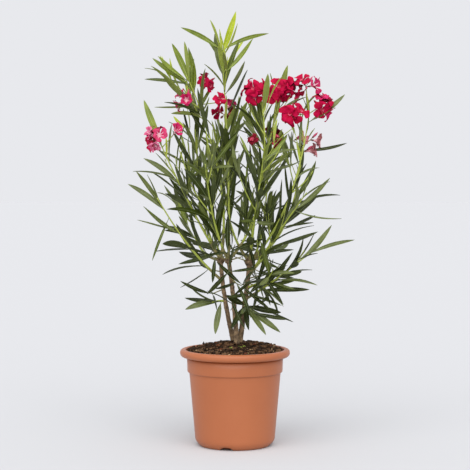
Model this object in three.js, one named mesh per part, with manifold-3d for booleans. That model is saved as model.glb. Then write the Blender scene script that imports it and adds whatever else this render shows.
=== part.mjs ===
// A potted oleander in flower, in millimetres, with +Z up and the front of the plant towards -Y.
// The origin is the middle of the pot's flat underside. Three woody stems rise from one clump, and each ends
// in a pruned knob. Green boughs fan out of the knobs, and each carries one mass of foliage: a shoot with
// whorls of three leaves, its side twigs, and on the flowering shoots heads of blossoms and buds.
import * as THREE from "three";
import { mergeVertices } from "three/addons/utils/BufferGeometryUtils.js";
import Module from "manifold-3d";

const wasm = await Module();
wasm.setup();

// Driving sizes.
const CLEARANCE = 0.3;
const FULL_TURN = Math.PI * 2;
const GOLDEN_TURN = 2.39996;
const UP = new THREE.Vector3(0, 0, 1);
const FIRST_SIDE = new THREE.Vector3(1, 0.13, 0.07);
const COLOURS = { pot: 0xc07651, soil: 0x4a3728, stem: 0x8a6f52, bough: 0x7d8a3c, foliage: 0x56702f };
const ROUGHNESS = { pot: 0.55, soil: 0.95, stem: 0.85, bough: 0.7, foliage: 0.6 };

const POT = {
  height: 210,
  footRadius: 77,
  chamferHeight: 13,
  baseRadius: 87,
  stepHeight: 160,
  stepRadius: 100,
  stepRise: 1,
  bandRadius: 104,
  bandTaper: 1,
  groove: 1,
  rimHeight: 16.5,
  rimRadius: 120,
  under: 7,
  roll: 5,
  crown: 0.8,
  lip: 13,
  wall: 3,
  floor: 10,
  sides: 30,
};
const NOTCH = { count: 4, width: 26, height: 7, depth: 12, bearing: -103.7, sides: 16 };

// The soil is level at the pot's wall and round the stems, and lumpy between them.
const SOIL = {
  edgeHeight: 204,
  crownHeight: 217,
  crownRadius: 30,
  middle: [2, 18],
  rings: 4,
  ringRise: 1,
  lump: 2.5,
  lumpPitch: [0.13, 0.11],
  wallCalm: 10,
  crownCalm: 3,
};

// Each stem runs from its foot on the soil to the middle of its knob, through one point that gives it its sway.
const STEMS = {
  left: { foot: [-2, 30], sway: [-22, 14, 318], knob: [-31, 8, 404], radius: 5.2, knobRadius: 9 },
  centre: { foot: [4, 2], sway: [-3, 0, 315], knob: [-14, -14, 404], radius: 5.6, knobRadius: 8.5 },
  right: { foot: [10, 17], sway: [23, 12, 318], knob: [32, 4, 400], radius: 5.8, knobRadius: 10 },
};
const STEM = { flare: 0.3, flareLength: 16, taper: 0.82, rings: 10, sides: 7 };
const KNOB = { lump: 0.14, pitch: [5, 4, 3], across: 7, down: 5 };

// Each shoot: the stem it grows from, how far up that stem (the knob where none is given), the bearing and
// climb in degrees at which it leaves, its tip, how much of it is a bare bough, its side twigs, and the tips
// of the leaves that reach furthest from it. A flower head has its middle, number of blossoms and bearing.
const SHOOTS = {
  left_low: {
    stem: "left", from: 0.72, bearing: 185, climb: 40, tip: [-168, -25, 540], bare: 0.16, twigs: 0,
    reach: [[-232, -20, 570], [-214, -25, 598], [-197, -34, 522], [-180, -12, 403]],
  },
  left_flower: {
    stem: "left", bearing: 210, climb: 55, tip: [-155, -62, 648], bare: 0.16, twigs: 1,
    reach: [[-194, -60, 749], [-196, -50, 625]],
    heads: [[-182, -68, 676, 5, 200], [-124, -60, 684, 1, -60]],
  },
  left_tall: {
    stem: "left", bearing: 10, climb: 80, tip: [-106, 12, 808], bare: 0.14, twigs: 2,
    reach: [[-137, 0, 875], [-102, 22, 868], [-180, 10, 844], [-198, 20, 799]],
    heads: [[-118, 4, 762, 2, 215]],
  },
  left_cluster: {
    stem: "left", bearing: 128, climb: 44, tip: [-82, 55, 745], bare: 0.14, twigs: 1,
    heads: [[-60, 44, 800, 2, -70], [-36, -6, 758, 1, -85]],
  },
  back_left: { stem: "left", bearing: 92, climb: 8, tip: [-110, 135, 640], bare: 0.16, twigs: 2 },
  left_behind: { stem: "left", bearing: 160, climb: 2, tip: [-98, 92, 540], bare: 0.14, twigs: 1 },
  leader: {
    stem: "centre", bearing: 85, climb: 72, tip: [-29, 20, 862], bare: 0.12, twigs: 2,
    reach: [[2, 10, 945], [-43, 20, 903], [-118, 15, 911], [74, 25, 899]],
  },
  centre_flower: {
    stem: "centre", bearing: -15, climb: 46, tip: [58, -52, 744], bare: 0.14, twigs: 2,
    heads: [[40, -60, 776, 3, -100], [72, -50, 770, 1, -80]],
  },
  front_left: { stem: "centre", bearing: -120, climb: 44, tip: [-62, -120, 612], bare: 0.16, twigs: 2 },
  right_front: {
    stem: "right", bearing: -85, climb: 46, tip: [62, -105, 640], bare: 0.14, twigs: 2,
    heads: [[86, -58, 672, 2, -70], [40, -80, 664, 1, -95]],
  },
  right_centre: {
    stem: "right", bearing: 60, climb: 82, tip: [98, 12, 752], bare: 0.12, twigs: 3,
    reach: [[115, 16, 829]],
    heads: [[102, -4, 784, 2, -90], [128, 2, 782, 2, -60]],
  },
  right_head: {
    stem: "right", bearing: -26, climb: 42, tip: [160, -22, 722], bare: 0.14, twigs: 2,
    reach: [[238, -10, 764]],
    heads: [[126, -48, 728, 2, -95], [164, -8, 792, 2, -60], [196, -24, 748, 4, -50]],
  },
  right_faded: {
    stem: "right", bearing: 24, climb: 22, tip: [150, 78, 655], bare: 0.16, twigs: 1,
    reach: [[249, 62, 661], [180, 70, 620]],
    heads: [[140, 56, 676, 1, -60], [184, 70, 676, 1, 0], [168, 66, 650, 1, -30]],
  },
  back_right: {
    stem: "right", bearing: 72, climb: 10, tip: [78, 150, 650], bare: 0.16, twigs: 2,
    heads: [[88, 128, 682, 2, 80]],
  },
  back_centre: {
    stem: "right", bearing: 128, climb: 34, tip: [-22, 150, 700], bare: 0.16, twigs: 2,
    heads: [[-26, 164, 738, 2, 95]],
  },
  right_mid: {
    stem: "right", from: 0.78, bearing: -42, climb: 50, tip: [152, -82, 552], bare: 0.14, twigs: 0,
    reach: [[226, -80, 497], [202, -70, 583]],
  },
  right_behind: {
    stem: "right", from: 0.84, bearing: 38, climb: 24, tip: [92, 84, 490], bare: 0.14, twigs: 1,
  },
  right_spur: {
    stem: "right", from: 0.64, bearing: -38, climb: 16, tip: [84, -54, 384], bare: 0, twigs: 1,
    reach: [[104, -66, 308], [128, -74, 346]],
  },
  right_low: {
    stem: "right", from: 0.5, bearing: -20, climb: 30, tip: [158, -48, 420], bare: 0.16, twigs: 1,
    reach: [[258, -40, 450], [208, -44, 482], [178, -44, 352]],
  },
  low_whorl: {
    stem: "right", from: 0.42, bearing: -88, climb: 10, tip: [28, -38, 308], bare: 0, twigs: 0,
    reach: [[67, -36, 244], [98, -40, 250], [100, -30, 292], [30, -50, 256], [-8, -40, 258]],
  },
  left_hanging: {
    stem: "left", from: 0.47, bearing: 192, climb: 18, tip: [-50, 2, 312], bare: 0, twigs: 0,
    reach: [[-109, 0, 296], [-43, -10, 243]],
  },
};
const SHOOT = { radius: 3, tipRadius: 1.1, sides: 3, boughSides: 5, step: 40, bend: 0.42 };
const TWIG = {
  radius: 1.6,
  length: 84,
  sizeSwing: 0.2,
  tilt: 38,
  rise: 0.3,
  first: 0.42,
  middle: 0.6,
  last: 0.78,
  clear: 6,
  tries: 4,
  retryTurn: 0.4,
};

// Leaves stand in whorls of three, closer together and more upright towards a shoot's tip. The blade and edges
// are the shares of a leaf's length at which it is kept clear of the rest.
const WHORL = { leaves: 3, spacing: 50, tipSpacing: 28, first: 10, turnSwing: 0.2 };
const LEAF = {
  length: 110,
  farLength: 102,
  farStep: 4,
  youngest: 0.6,
  growth: 0.6,
  sizeSwing: 0.12,
  width: 14,
  widthSwing: 0.15,
  leastWidth: 9,
  thickness: 1.5,
  root: 1,
  belly: 0.46,
  ridge: 0.3,
  tilt: 56,
  tipTilt: 18,
  tiltSwing: 12,
  ageing: 130,
  droop: 0.07,
  tries: 4,
  closeUp: 0.7,
  blade: [0.3, 0.5, 0.75, 1],
  petiole: 0.14,
  edges: [0.3, 0.46, 0.65],
};
const SPACE = { margin: 4, limb: 2.5, blossom: 3, leaf: 5, lowest: 228 };
const HEAD = {
  base: 22,
  spread: 20,
  wider: 10,
  widest: 4,
  leanSwing: 0.12,
  budShare: 0.9,
  budLean: 14,
  climb: 28,
  stalk: 1.2,
  node: 3,
};
const BLOSSOM = { radius: 17, notch: 0.6, length: 26, throat: 19, segments: 10 };
const BUD = { length: 28, width: 6, belly: 0.7 };

// Seeded random numbers, so that each build grows the same plant.
function seeded(seed) {
  let state = Math.imul(seed, 2654435761) >>> 0;
  return () => {
    state = (Math.imul(state, 1664525) + 1013904223) >>> 0;
    return state / 4294967296;
  };
}

const radians = THREE.MathUtils.degToRad;
const lerp = THREE.MathUtils.lerp;
const clamp = THREE.MathUtils.clamp;
const vector = (values) => new THREE.Vector3(...values);
const swing = (random, amount) => (random() * 2 - 1) * amount;

// The unit vector at a bearing round from +X towards +Y, and a climb above the horizon.
function heading(bearing, climb) {
  const flat = Math.cos(radians(climb));
  return new THREE.Vector3(
    flat * Math.cos(radians(bearing)),
    flat * Math.sin(radians(bearing)),
    Math.sin(radians(climb)),
  );
}

// Points at even steps along a stretch of a curve, each with its tangent and two directions across that don't
// twist.
function spineOf(curve, step, from = 0, to = 1) {
  const count = Math.ceil((curve.getLength() * (to - from)) / step);
  let side = FIRST_SIDE;
  return Array.from({ length: count + 1 }, (_, i) => {
    const share = lerp(from, to, i / count);
    const along = curve.getTangentAt(share);
    side = side.clone().addScaledVector(along, -side.dot(along)).normalize();
    return { point: curve.getPointAt(share), along, side, across: along.clone().cross(side) };
  });
}

// The spine's frame at a distance from its start.
function frameAt(spine, distance) {
  let left = distance;
  for (let i = 1; i < spine.length; i += 1) {
    const span = spine[i].point.distanceTo(spine[i - 1].point);
    if (left <= span || i === spine.length - 1) {
      const share = clamp(left / span, 0, 1);
      const near = share < 0.5 ? spine[i - 1] : spine[i];
      return { ...near, point: spine[i - 1].point.clone().lerp(spine[i].point, share) };
    }
    left -= span;
  }
  return spine[0];
}

// The direction that leaves a frame at a tilt from its tangent, turned round it.
function tilted(frame, turn, tilt) {
  return frame.along
    .clone()
    .multiplyScalar(Math.cos(tilt))
    .addScaledVector(frame.side, Math.sin(tilt) * Math.cos(turn))
    .addScaledVector(frame.across, Math.sin(tilt) * Math.sin(turn));
}

function lengthOf(spine) {
  let total = 0;
  for (let i = 1; i < spine.length; i += 1) {
    total += spine[i].point.distanceTo(spine[i - 1].point);
  }
  return total;
}

// A geometry whose faces share their vertices, so that it is closed.
function merged(geometry) {
  geometry.deleteAttribute("normal");
  geometry.deleteAttribute("uv");
  return mergeVertices(geometry);
}

// Moves every vertex of a geometry, by a function of its old place.
function reshape(geometry, place) {
  const position = geometry.attributes.position;
  const vertex = new THREE.Vector3();
  for (let i = 0; i < position.count; i += 1) {
    vertex.fromBufferAttribute(position, i);
    const moved = place(vertex);
    position.setXYZ(i, moved.x, moved.y, moved.z);
  }
  return geometry;
}

// A round limb: a capped cylinder whose rings are moved onto the spine and scaled to its radius there.
function limb(spine, radiusAt, sides) {
  const rings = spine.length - 1;
  return reshape(merged(new THREE.CylinderGeometry(1, 1, 1, sides, rings)), (vertex) => {
    const ring = Math.round((vertex.y + 0.5) * rings);
    const { point, side, across } = spine[ring];
    const radius = radiusAt(ring / rings);
    return point
      .clone()
      .addScaledVector(across, vertex.x * radius)
      .addScaledVector(side, vertex.z * radius);
  });
}

// A closed and merged geometry as a solid that can be joined and cut.
function solid(geometry) {
  const mesh = new wasm.Mesh({
    numProp: 3,
    vertProperties: new Float32Array(geometry.attributes.position.array),
    triVerts: new Uint32Array(geometry.index.array),
  });
  return new wasm.Manifold(mesh);
}

// The largest piece of a solid: scraps and filled hollows are left out.
function wholeOf(joined) {
  const pieces = joined.decompose();
  return pieces.reduce((best, piece) => (piece.volume() > best.volume() ? piece : best));
}

function geometryOf(shape) {
  const { vertProperties, triVerts } = shape.getMesh();
  const geometry = new THREE.BufferGeometry();
  geometry.setAttribute("position", new THREE.BufferAttribute(new Float32Array(vertProperties), 3));
  geometry.setIndex(new THREE.BufferAttribute(new Uint32Array(triVerts), 1));
  geometry.computeVertexNormals();
  return geometry;
}

const oleander = new THREE.Group();

function addPart(name, geometry, kind) {
  const finish = { color: COLOURS[kind], roughness: ROUGHNESS[kind], metalness: 0, flatShading: true };
  const material = new THREE.MeshStandardMaterial(finish);
  const mesh = new THREE.Mesh(geometry, material);
  mesh.name = name;
  oleander.add(mesh);
}

// The pot's outer radius on its tapering wall.
function potRadius(height) {
  const share = (height - POT.chamferHeight) / (POT.stepHeight - POT.chamferHeight);
  return lerp(POT.baseRadius, POT.stepRadius, clamp(share, 0, 1));
}

// The pot's inside, from its floor up to the lip. The soil follows the same outline.
function potInside(inset) {
  const band = POT.bandRadius - POT.wall - inset;
  const rimFoot = POT.height - POT.rimHeight;
  return [
    [potRadius(POT.floor) - POT.wall - inset, POT.floor + inset],
    [POT.stepRadius - POT.wall - inset, POT.stepHeight],
    [band, POT.stepHeight + POT.wall],
    [band + POT.bandTaper, rimFoot],
    [POT.rimRadius - POT.lip - POT.wall - inset, SOIL.edgeHeight],
  ];
}

function lathe(outline) {
  const points = outline.map(([radius, height]) => new THREE.Vector2(radius, height));
  return merged(new THREE.LatheGeometry(points, POT.sides)).rotateX(Math.PI / 2);
}

function makePot() {
  const rimFoot = POT.height - POT.rimHeight;
  const outline = [
    [0, 0],
    [POT.footRadius, 0],
    [POT.baseRadius, POT.chamferHeight],
    [POT.stepRadius, POT.stepHeight],
    [POT.bandRadius, POT.stepHeight + POT.stepRise],
    [POT.bandRadius + POT.bandTaper, rimFoot - POT.groove],
    [POT.rimRadius - POT.under, rimFoot],
    [POT.rimRadius - POT.under * (1 - Math.SQRT1_2), rimFoot + POT.under * (1 - Math.SQRT1_2)],
    [POT.rimRadius, rimFoot + POT.under],
    [POT.rimRadius, POT.height - POT.roll - POT.crown],
    [POT.rimRadius - POT.roll, POT.height - POT.crown],
    [POT.rimRadius - POT.lip / 2, POT.height],
    [POT.rimRadius - POT.lip, POT.height - POT.roll / 2],
    ...potInside(0).reverse(),
    [0, POT.floor],
  ];
  const notches = Array.from({ length: NOTCH.count }, (_, i) => makeNotch(i));
  return geometryOf(solid(lathe(outline)).subtract(wasm.Manifold.union(notches)));
}

// A drainage notch: a low arch cut into the edge of the foot.
function makeNotch(index) {
  const radius = NOTCH.width / 2;
  const bearing = NOTCH.bearing + (index * 360) / NOTCH.count;
  const arch = merged(new THREE.CylinderGeometry(radius, radius, NOTCH.depth * 2, NOTCH.sides));
  arch.scale(1, 1, NOTCH.height / radius);
  arch.translate(0, POT.footRadius, 0).rotateZ(radians(bearing - 90));
  return solid(arch);
}

// The mounded bark and soil that fills the pot, flat where the stems stand.
function makeSoil() {
  const wall = potInside(CLEARANCE);
  const edge = wall[wall.length - 1][0];
  const outline = [[0, POT.floor + CLEARANCE], ...wall];
  for (let i = 1; i < SOIL.rings; i += 1) {
    outline.push([edge * (1 - i / SOIL.rings), SOIL.edgeHeight + i * SOIL.ringRise]);
  }
  outline.push([0, SOIL.crownHeight]);
  const topFrom = SOIL.edgeHeight + SOIL.ringRise / 2;
  const mound = reshape(lathe(outline), ({ x, y, z }) => {
    return new THREE.Vector3(x, y, z > topFrom ? soilHeight(x, y, edge) : z);
  });
  return geometryOf(solid(mound));
}

// The height of the soil's surface, which falls from its crown round the stems to its edge at the wall.
function soilHeight(x, y, edge) {
  const [pitchX, pitchY] = SOIL.lumpPitch;
  const fromMiddle = new THREE.Vector2(...SOIL.middle).distanceTo(new THREE.Vector2(x, y));
  const slope = clamp((fromMiddle - SOIL.crownRadius) / (edge - SOIL.crownRadius), 0, 1);
  const height = lerp(SOIL.crownHeight, SOIL.edgeHeight, Math.sin((slope * Math.PI) / 2));
  const lumps = Math.sin(x * pitchX + 1) * Math.cos(y * pitchY) * SOIL.lump;
  const calm = Math.min(1, slope * SOIL.crownCalm) * clamp((edge - Math.hypot(x, y)) / SOIL.wallCalm, 0, 1);
  return height + lumps * calm;
}

// The line of a stem, from its flat foot to the middle of its knob.
function stemCurve(stem) {
  const foot = new THREE.Vector3(...stem.foot, SOIL.crownHeight + CLEARANCE);
  const knob = vector(stem.knob);
  const bend = vector(stem.sway).multiplyScalar(2).addScaledVector(foot, -0.5).addScaledVector(knob, -0.5);
  return new THREE.QuadraticBezierCurve3(foot, bend, knob);
}

// A stem with its root flare and its knob, as a solid. The extra radius makes the room that its boughs leave.
function stemSolid(stem, extra) {
  const curve = stemCurve(stem);
  const spine = spineOf(curve, curve.getLength() / STEM.rings);
  spine[0].side.setZ(0).normalize();
  spine[0].across.set(-spine[0].side.y, spine[0].side.x, 0);
  const length = curve.getLength();
  const trunk = limb(spine, (share) => {
    const flare = 1 + STEM.flare * Math.exp((-share * length) / STEM.flareLength);
    return stem.radius * lerp(1, STEM.taper, share) * flare + extra;
  }, STEM.sides);
  const [pitchX, pitchY, pitchZ] = KNOB.pitch;
  const knob = reshape(merged(new THREE.SphereGeometry(1, KNOB.across, KNOB.down)), (vertex) => {
    const { x, y, z } = vertex;
    const lumps = 1 + KNOB.lump * Math.sin(x * pitchX + stem.radius) * Math.cos(y * pitchY - z * pitchZ);
    return vector(stem.knob).addScaledVector(vertex, stem.knobRadius * lumps + extra);
  });
  return solid(trunk).add(solid(knob));
}

// The line of a shoot, from inside its stem or knob to its tip.
function shootCurve(shoot) {
  const stem = STEMS[shoot.stem];
  const start = shoot.from ? stemCurve(stem).getPoint(shoot.from) : vector(stem.knob);
  const tip = vector(shoot.tip);
  const reach = start.distanceTo(tip) * SHOOT.bend;
  const bend = start.clone().addScaledVector(heading(shoot.bearing, shoot.climb), reach);
  return new THREE.QuadraticBezierCurve3(start, bend, tip);
}

// A side twig leaves its shoot at a tilt and rises a little towards its tip.
function twigCurve(frame, turn, length) {
  const along = tilted(frame, turn, radians(TWIG.tilt));
  const tip = along.clone().addScaledVector(UP, TWIG.rise).normalize().multiplyScalar(length).add(frame.point);
  const bend = frame.point.clone().addScaledVector(along, length / 2);
  return new THREE.QuadraticBezierCurve3(frame.point.clone(), bend, tip);
}

// Every line of the plant: the limbs, and for each mass its shoot, side twigs, flower stalks and blossoms.
const limbs = [];
const masses = {};

function distanceToLine(line, point) {
  const segment = new THREE.Line3();
  const nearest = new THREE.Vector3();
  let best = Infinity;
  for (let i = 1; i < line.length; i += 1) {
    segment.set(line[i - 1], line[i]).closestPointToPoint(point, true, nearest);
    best = Math.min(best, nearest.distanceTo(point));
  }
  return best;
}

const distanceToMass = (mass, point) => Math.min(...mass.lines.map((line) => distanceToLine(line, point)));
const othersOf = (mass) => Object.values(masses).filter((other) => other !== mass);
const clearOfLimbs = (point, room) =>
  limbs.every(({ line, radius }) => distanceToLine(line, point) > radius + room);

// A leaf stays where its own mass is the nearest, clear of every limb and of the other masses' blossoms.
function inOwnSpace(mass, point) {
  const own = distanceToMass(mass, point) + SPACE.margin;
  return (
    point.z > SPACE.lowest &&
    clearOfLimbs(point, SPACE.limb) &&
    othersOf(mass).every(
      (other) =>
        distanceToMass(other, point) > own &&
        other.blossoms.every(({ end }) => end.distanceTo(point) > BLOSSOM.radius + SPACE.blossom),
    )
  );
}

// A twig or stalk keeps its distance from every limb and every line of the other masses.
function lineIsClear(mass, line, room) {
  const clearOfOthers = (point) => othersOf(mass).every((other) => distanceToMass(other, point) > room);
  return line.slice(1).every((point) => clearOfLimbs(point, room) && clearOfOthers(point));
}

const pointsOf = (spine) => spine.map(({ point }) => point);

// Sets out the shoots first, so that each mass knows its neighbours.
function setOutShoots() {
  for (const stem of Object.values(STEMS)) {
    limbs.push({ line: stemCurve(stem).getPoints(STEM.rings), radius: stem.radius });
    limbs.push({ line: [vector(stem.knob), vector(stem.knob).add(UP)], radius: stem.knobRadius });
  }
  Object.entries(SHOOTS).forEach(([name, shoot], i) => {
    const curve = shootCurve(shoot);
    const bough = spineOf(curve, SHOOT.step, 0, shoot.bare);
    const leafy = spineOf(curve, SHOOT.step, shoot.bare && shoot.bare + CLEARANCE / curve.getLength(), 1);
    const flowers = { stalks: [], nodes: [], blossoms: [], buds: [] };
    const leaves = { twigs: [], leaves: [], blades: [], lines: [pointsOf(leafy)] };
    masses[name] = { shoot, bough, leafy, ...flowers, ...leaves, random: seeded(i + 1) };
    if (shoot.bare) limbs.push({ line: pointsOf(bough), radius: SHOOT.radius });
  });
}

// Side twigs are spread along their shoot. One that has no room is tried again further round it.
function setOutTwigs(mass) {
  const { twigs } = mass.shoot;
  const length = lengthOf(mass.leafy);
  const start = mass.random() * FULL_TURN;
  for (let i = 0; i < twigs; i += 1) {
    const share = twigs > 1 ? lerp(TWIG.first, TWIG.last, i / (twigs - 1)) : TWIG.middle;
    const size = TWIG.length * (1 + swing(mass.random, TWIG.sizeSwing));
    for (let attempt = 0; attempt < TWIG.tries; attempt += 1) {
      const turn = start + (i + attempt * TWIG.retryTurn) * GOLDEN_TURN;
      const twig = spineOf(twigCurve(frameAt(mass.leafy, length * share), turn, size), SHOOT.step);
      if (lineIsClear(mass, pointsOf(twig), TWIG.clear + SHOOT.radius)) {
        mass.twigs.push(twig);
        mass.lines.push(pointsOf(twig));
        break;
      }
    }
  }
}

// A head's stalk runs from the shoot's tip to its base. Its blossoms stand in a ring round its axis, and its
// buds in and inside that ring, all with their feet in the base.
function setOutHeads(mass) {
  (mass.shoot.heads ?? []).forEach((head) => setOutHead(mass, head));
}

function setOutHead(mass, [x, y, z, count, bearing]) {
  const middle = new THREE.Vector3(x, y, z);
  const base = middle.clone().addScaledVector(heading(bearing, HEAD.climb), -HEAD.base);
  const tip = mass.leafy[mass.leafy.length - 1].point;
  const stalk = new THREE.LineCurve3(tip, base);
  mass.stalks.push(spineOf(stalk, stalk.getLength()));
  mass.nodes.push(base);
  mass.lines.push([tip, base]);
  const [frame] = spineOf(new THREE.LineCurve3(base, middle), HEAD.base);
  const start = mass.random() * FULL_TURN;
  const spread = count > 1 ? HEAD.spread + HEAD.wider * Math.min(count, HEAD.widest) : 0;
  for (let i = 0; i < count * 2; i += 1) {
    const isBlossom = i % 2 === 0;
    const middleLean = radians(isBlossom ? spread : spread * HEAD.budShare + HEAD.budLean);
    const lean = middleLean + swing(mass.random, HEAD.leanSwing);
    const outward = tilted(frame, start + (i / (count * 2)) * FULL_TURN, lean);
    const end = base.clone().addScaledVector(outward, isBlossom ? BLOSSOM.length : BUD.length);
    if (!flowerFits(mass, end, isBlossom ? BLOSSOM.radius : BUD.width)) continue;
    mass.lines.push([base, end]);
    (isBlossom ? mass.blossoms : mass.buds).push({ base, end, outward });
  }
}

// A flower fits where its end is clear of every limb, and of the other masses' lines and blossoms.
function flowerFits(mass, end, room) {
  return (
    clearOfLimbs(end, room) &&
    othersOf(mass).every(
      (other) =>
        distanceToMass(other, end) > room + SPACE.blossom &&
        other.blossoms.every((blossom) => blossom.end.distanceTo(end) > room + BLOSSOM.radius),
    )
  );
}

// A point of a leaf: a share of its length along, with a sideways and an upward offset, bent down by its droop.
function leafPoint(leaf, share, sideways, upward) {
  const bend = leaf.droop * leaf.length * share * share;
  return leaf.root
    .clone()
    .addScaledVector(leaf.along, leaf.length * share)
    .addScaledVector(leaf.side, sideways)
    .addScaledVector(leaf.normal, upward - bend);
}

// A leaf fits where all of it is in its mass's own space, and its blade is clear of the mass's blades and
// blossoms.
function leafFits(mass, leaf) {
  const half = leaf.width / 2;
  const root = leafPoint(leaf, LEAF.petiole, 0, 0);
  const blade = LEAF.blade.map((share) => leafPoint(leaf, share, 0, 0));
  const edges = LEAF.edges.flatMap((share) => [-half, half].map((side) => leafPoint(leaf, share, side, 0)));
  const fits =
    [root, ...blade, ...edges].every((point) => inOwnSpace(mass, point)) &&
    blade.every((point) => mass.blossoms.every(({ end }) => end.distanceTo(point) > BLOSSOM.radius)) &&
    blade.every((point) => mass.blades.every((line) => distanceToLine(line, point) > SPACE.leaf)) &&
    mass.blades.every((line) => line.every((point) => distanceToLine(blade, point) > SPACE.leaf));
  if (fits) mass.blades.push(blade);
  return fits;
}

// A leaf that leaves a frame at a tilt from its tangent, turned round it, and faces the shoot's tip.
function leafFrom(frame, turn, tilt, length, width) {
  const along = tilted(frame, turn, tilt);
  const normal = tilted(frame, turn, tilt - Math.PI / 2);
  const side = along.clone().cross(normal);
  return { root: frame.point, along, side, normal, length, width, droop: LEAF.droop };
}

// A leaf from the place on the shoot that suits its length best to a tip that is given.
function leafTo(mass, target) {
  const tip = vector(target);
  const length = lengthOf(mass.leafy);
  let best = { miss: Infinity };
  for (let distance = WHORL.first; distance < length; distance += LEAF.farStep) {
    const frame = frameAt(mass.leafy, distance);
    const miss = Math.abs(frame.point.distanceTo(tip) - LEAF.farLength);
    if (miss < best.miss) best = { frame, miss };
  }
  const root = best.frame.point;
  const along = tip.clone().sub(root).normalize();
  const { along: shootAlong } = best.frame;
  const normal = shootAlong.clone().addScaledVector(along, -shootAlong.dot(along)).normalize();
  const side = along.clone().cross(normal);
  return { root, along, side, normal, length: tip.distanceTo(root), width: LEAF.width, droop: 0 };
}

// The leaves that reach furthest are set out before the whorls, and belong to the lines of their mass.
function setOutFarLeaves(mass) {
  for (const target of mass.shoot.reach ?? []) {
    const leaf = leafTo(mass, target);
    const blade = LEAF.blade.map((share) => leafPoint(leaf, share, 0, 0));
    if (!lineIsClear(mass, blade, leaf.width)) continue;
    mass.leaves.push(leaf);
    mass.blades.push(blade);
    mass.lines.push(blade);
  }
}

// Whorls stand along a spine, each turned half a leaf's share from the last, with older leaves further from the
// tip.
function growWhorls(mass, spine) {
  const length = lengthOf(spine);
  let turn = mass.random() * FULL_TURN;
  let distance = WHORL.first;
  while (distance < length) {
    const age = clamp((length - distance) / LEAF.ageing, 0, 1);
    for (let i = 0; i < WHORL.leaves; i += 1) {
      growLeaf(mass, frameAt(spine, distance), turn + (i / WHORL.leaves) * FULL_TURN, age);
    }
    turn += FULL_TURN / WHORL.leaves / 2;
    distance += lerp(WHORL.tipSpacing, WHORL.spacing, age);
  }
}

// A leaf of an age from 0 to 1. One that has no room is tried again closer to its shoot, or left out.
function growLeaf(mass, frame, turn, age) {
  const { random } = mass;
  const size = LEAF.length * lerp(LEAF.youngest, 1, age ** LEAF.growth) * (1 + swing(random, LEAF.sizeSwing));
  const width = LEAF.width * (size / LEAF.length) * (1 + swing(random, LEAF.widthSwing));
  const around = turn + swing(random, WHORL.turnSwing);
  let tilt = radians(lerp(LEAF.tipTilt, LEAF.tilt, age) + swing(random, LEAF.tiltSwing));
  for (let attempt = 0; attempt < LEAF.tries; attempt += 1) {
    const leaf = leafFrom(frame, around, tilt, size, Math.max(width, LEAF.leastWidth));
    if (leafFits(mass, leaf)) {
      mass.leaves.push(leaf);
      return;
    }
    tilt *= LEAF.closeUp;
  }
}

// A leaf as a solid of six faces: its root, its tip, two edges at its belly, and the ridge of its midrib.
function leafSolid(leaf) {
  return solid(
    reshape(merged(new THREE.SphereGeometry(1, 3, 2)), ({ x, y, z }) => {
      if (y < -0.5) return leafPoint(leaf, -LEAF.root / leaf.length, 0, 0);
      if (y > 0.5) return leafPoint(leaf, 1, 0, 0);
      if (x < -0.5) return leafPoint(leaf, LEAF.ridge, 0, LEAF.thickness);
      return leafPoint(leaf, LEAF.belly, (Math.sign(z) * leaf.width) / 2, 0);
    }),
  );
}

// Stands a shape that was made along +Z on its foot, along the direction that it faces.
function standing({ base, outward }) {
  const turn = new THREE.Quaternion().setFromUnitVectors(UP, outward);
  return (point) => point.clone().applyQuaternion(turn).add(base);
}

// The swollen end of a flower stalk, that the head's flowers root in.
function nodeSolid(base) {
  return solid(reshape(merged(new THREE.OctahedronGeometry(HEAD.node)), (vertex) => vertex.clone().add(base)));
}

// A funnel that opens from its foot into five petals.
function blossomSolid(blossom) {
  const profile = [
    new THREE.Vector2(0, 0),
    new THREE.Vector2(BLOSSOM.radius, BLOSSOM.length),
    new THREE.Vector2(0, BLOSSOM.throat),
  ];
  const funnel = merged(new THREE.LatheGeometry(profile, BLOSSOM.segments)).rotateX(Math.PI / 2);
  const place = standing(blossom);
  return solid(
    reshape(funnel, (vertex) => {
      const turn = Math.round((Math.atan2(vertex.y, vertex.x) / FULL_TURN) * BLOSSOM.segments);
      const lobe = turn % 2 === 0 ? BLOSSOM.notch : 1;
      return place(new THREE.Vector3(vertex.x * lobe, vertex.y * lobe, vertex.z));
    }),
  );
}

function budSolid(bud) {
  const place = standing(bud);
  const radius = BUD.width / 2;
  return solid(
    reshape(merged(new THREE.SphereGeometry(1, 3, 2)).rotateX(Math.PI / 2), ({ x, y, z }) => {
      if (z < -0.5) return place(new THREE.Vector3());
      const height = BUD.length * (z > 0.5 ? 1 : BUD.belly);
      return place(new THREE.Vector3(x * radius, y * radius, height));
    }),
  );
}

const shootRadius = (share) => lerp(SHOOT.radius, SHOOT.tipRadius, share);

function boughSolid(mass, grownStem) {
  const { bare } = mass.shoot;
  return wholeOf(
    solid(limb(mass.bough, (share) => shootRadius(share * bare), SHOOT.boughSides)).subtract(grownStem),
  );
}

function massSolid(mass, grownStem) {
  const { bare } = mass.shoot;
  const pieces = [solid(limb(mass.leafy, (share) => shootRadius(lerp(bare, 1, share)), SHOOT.sides))];
  if (!bare) pieces[0] = wholeOf(pieces[0].subtract(grownStem));
  for (const twig of mass.twigs) {
    pieces.push(solid(limb(twig, (share) => lerp(TWIG.radius, SHOOT.tipRadius, share), SHOOT.sides)));
  }
  for (const stalk of mass.stalks) {
    pieces.push(solid(limb(stalk, () => HEAD.stalk, SHOOT.sides)));
  }
  pieces.push(...mass.nodes.map(nodeSolid), ...mass.blossoms.map(blossomSolid), ...mass.buds.map(budSolid));
  pieces.push(...mass.leaves.map(leafSolid));
  return wholeOf(wasm.Manifold.union(pieces));
}

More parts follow.
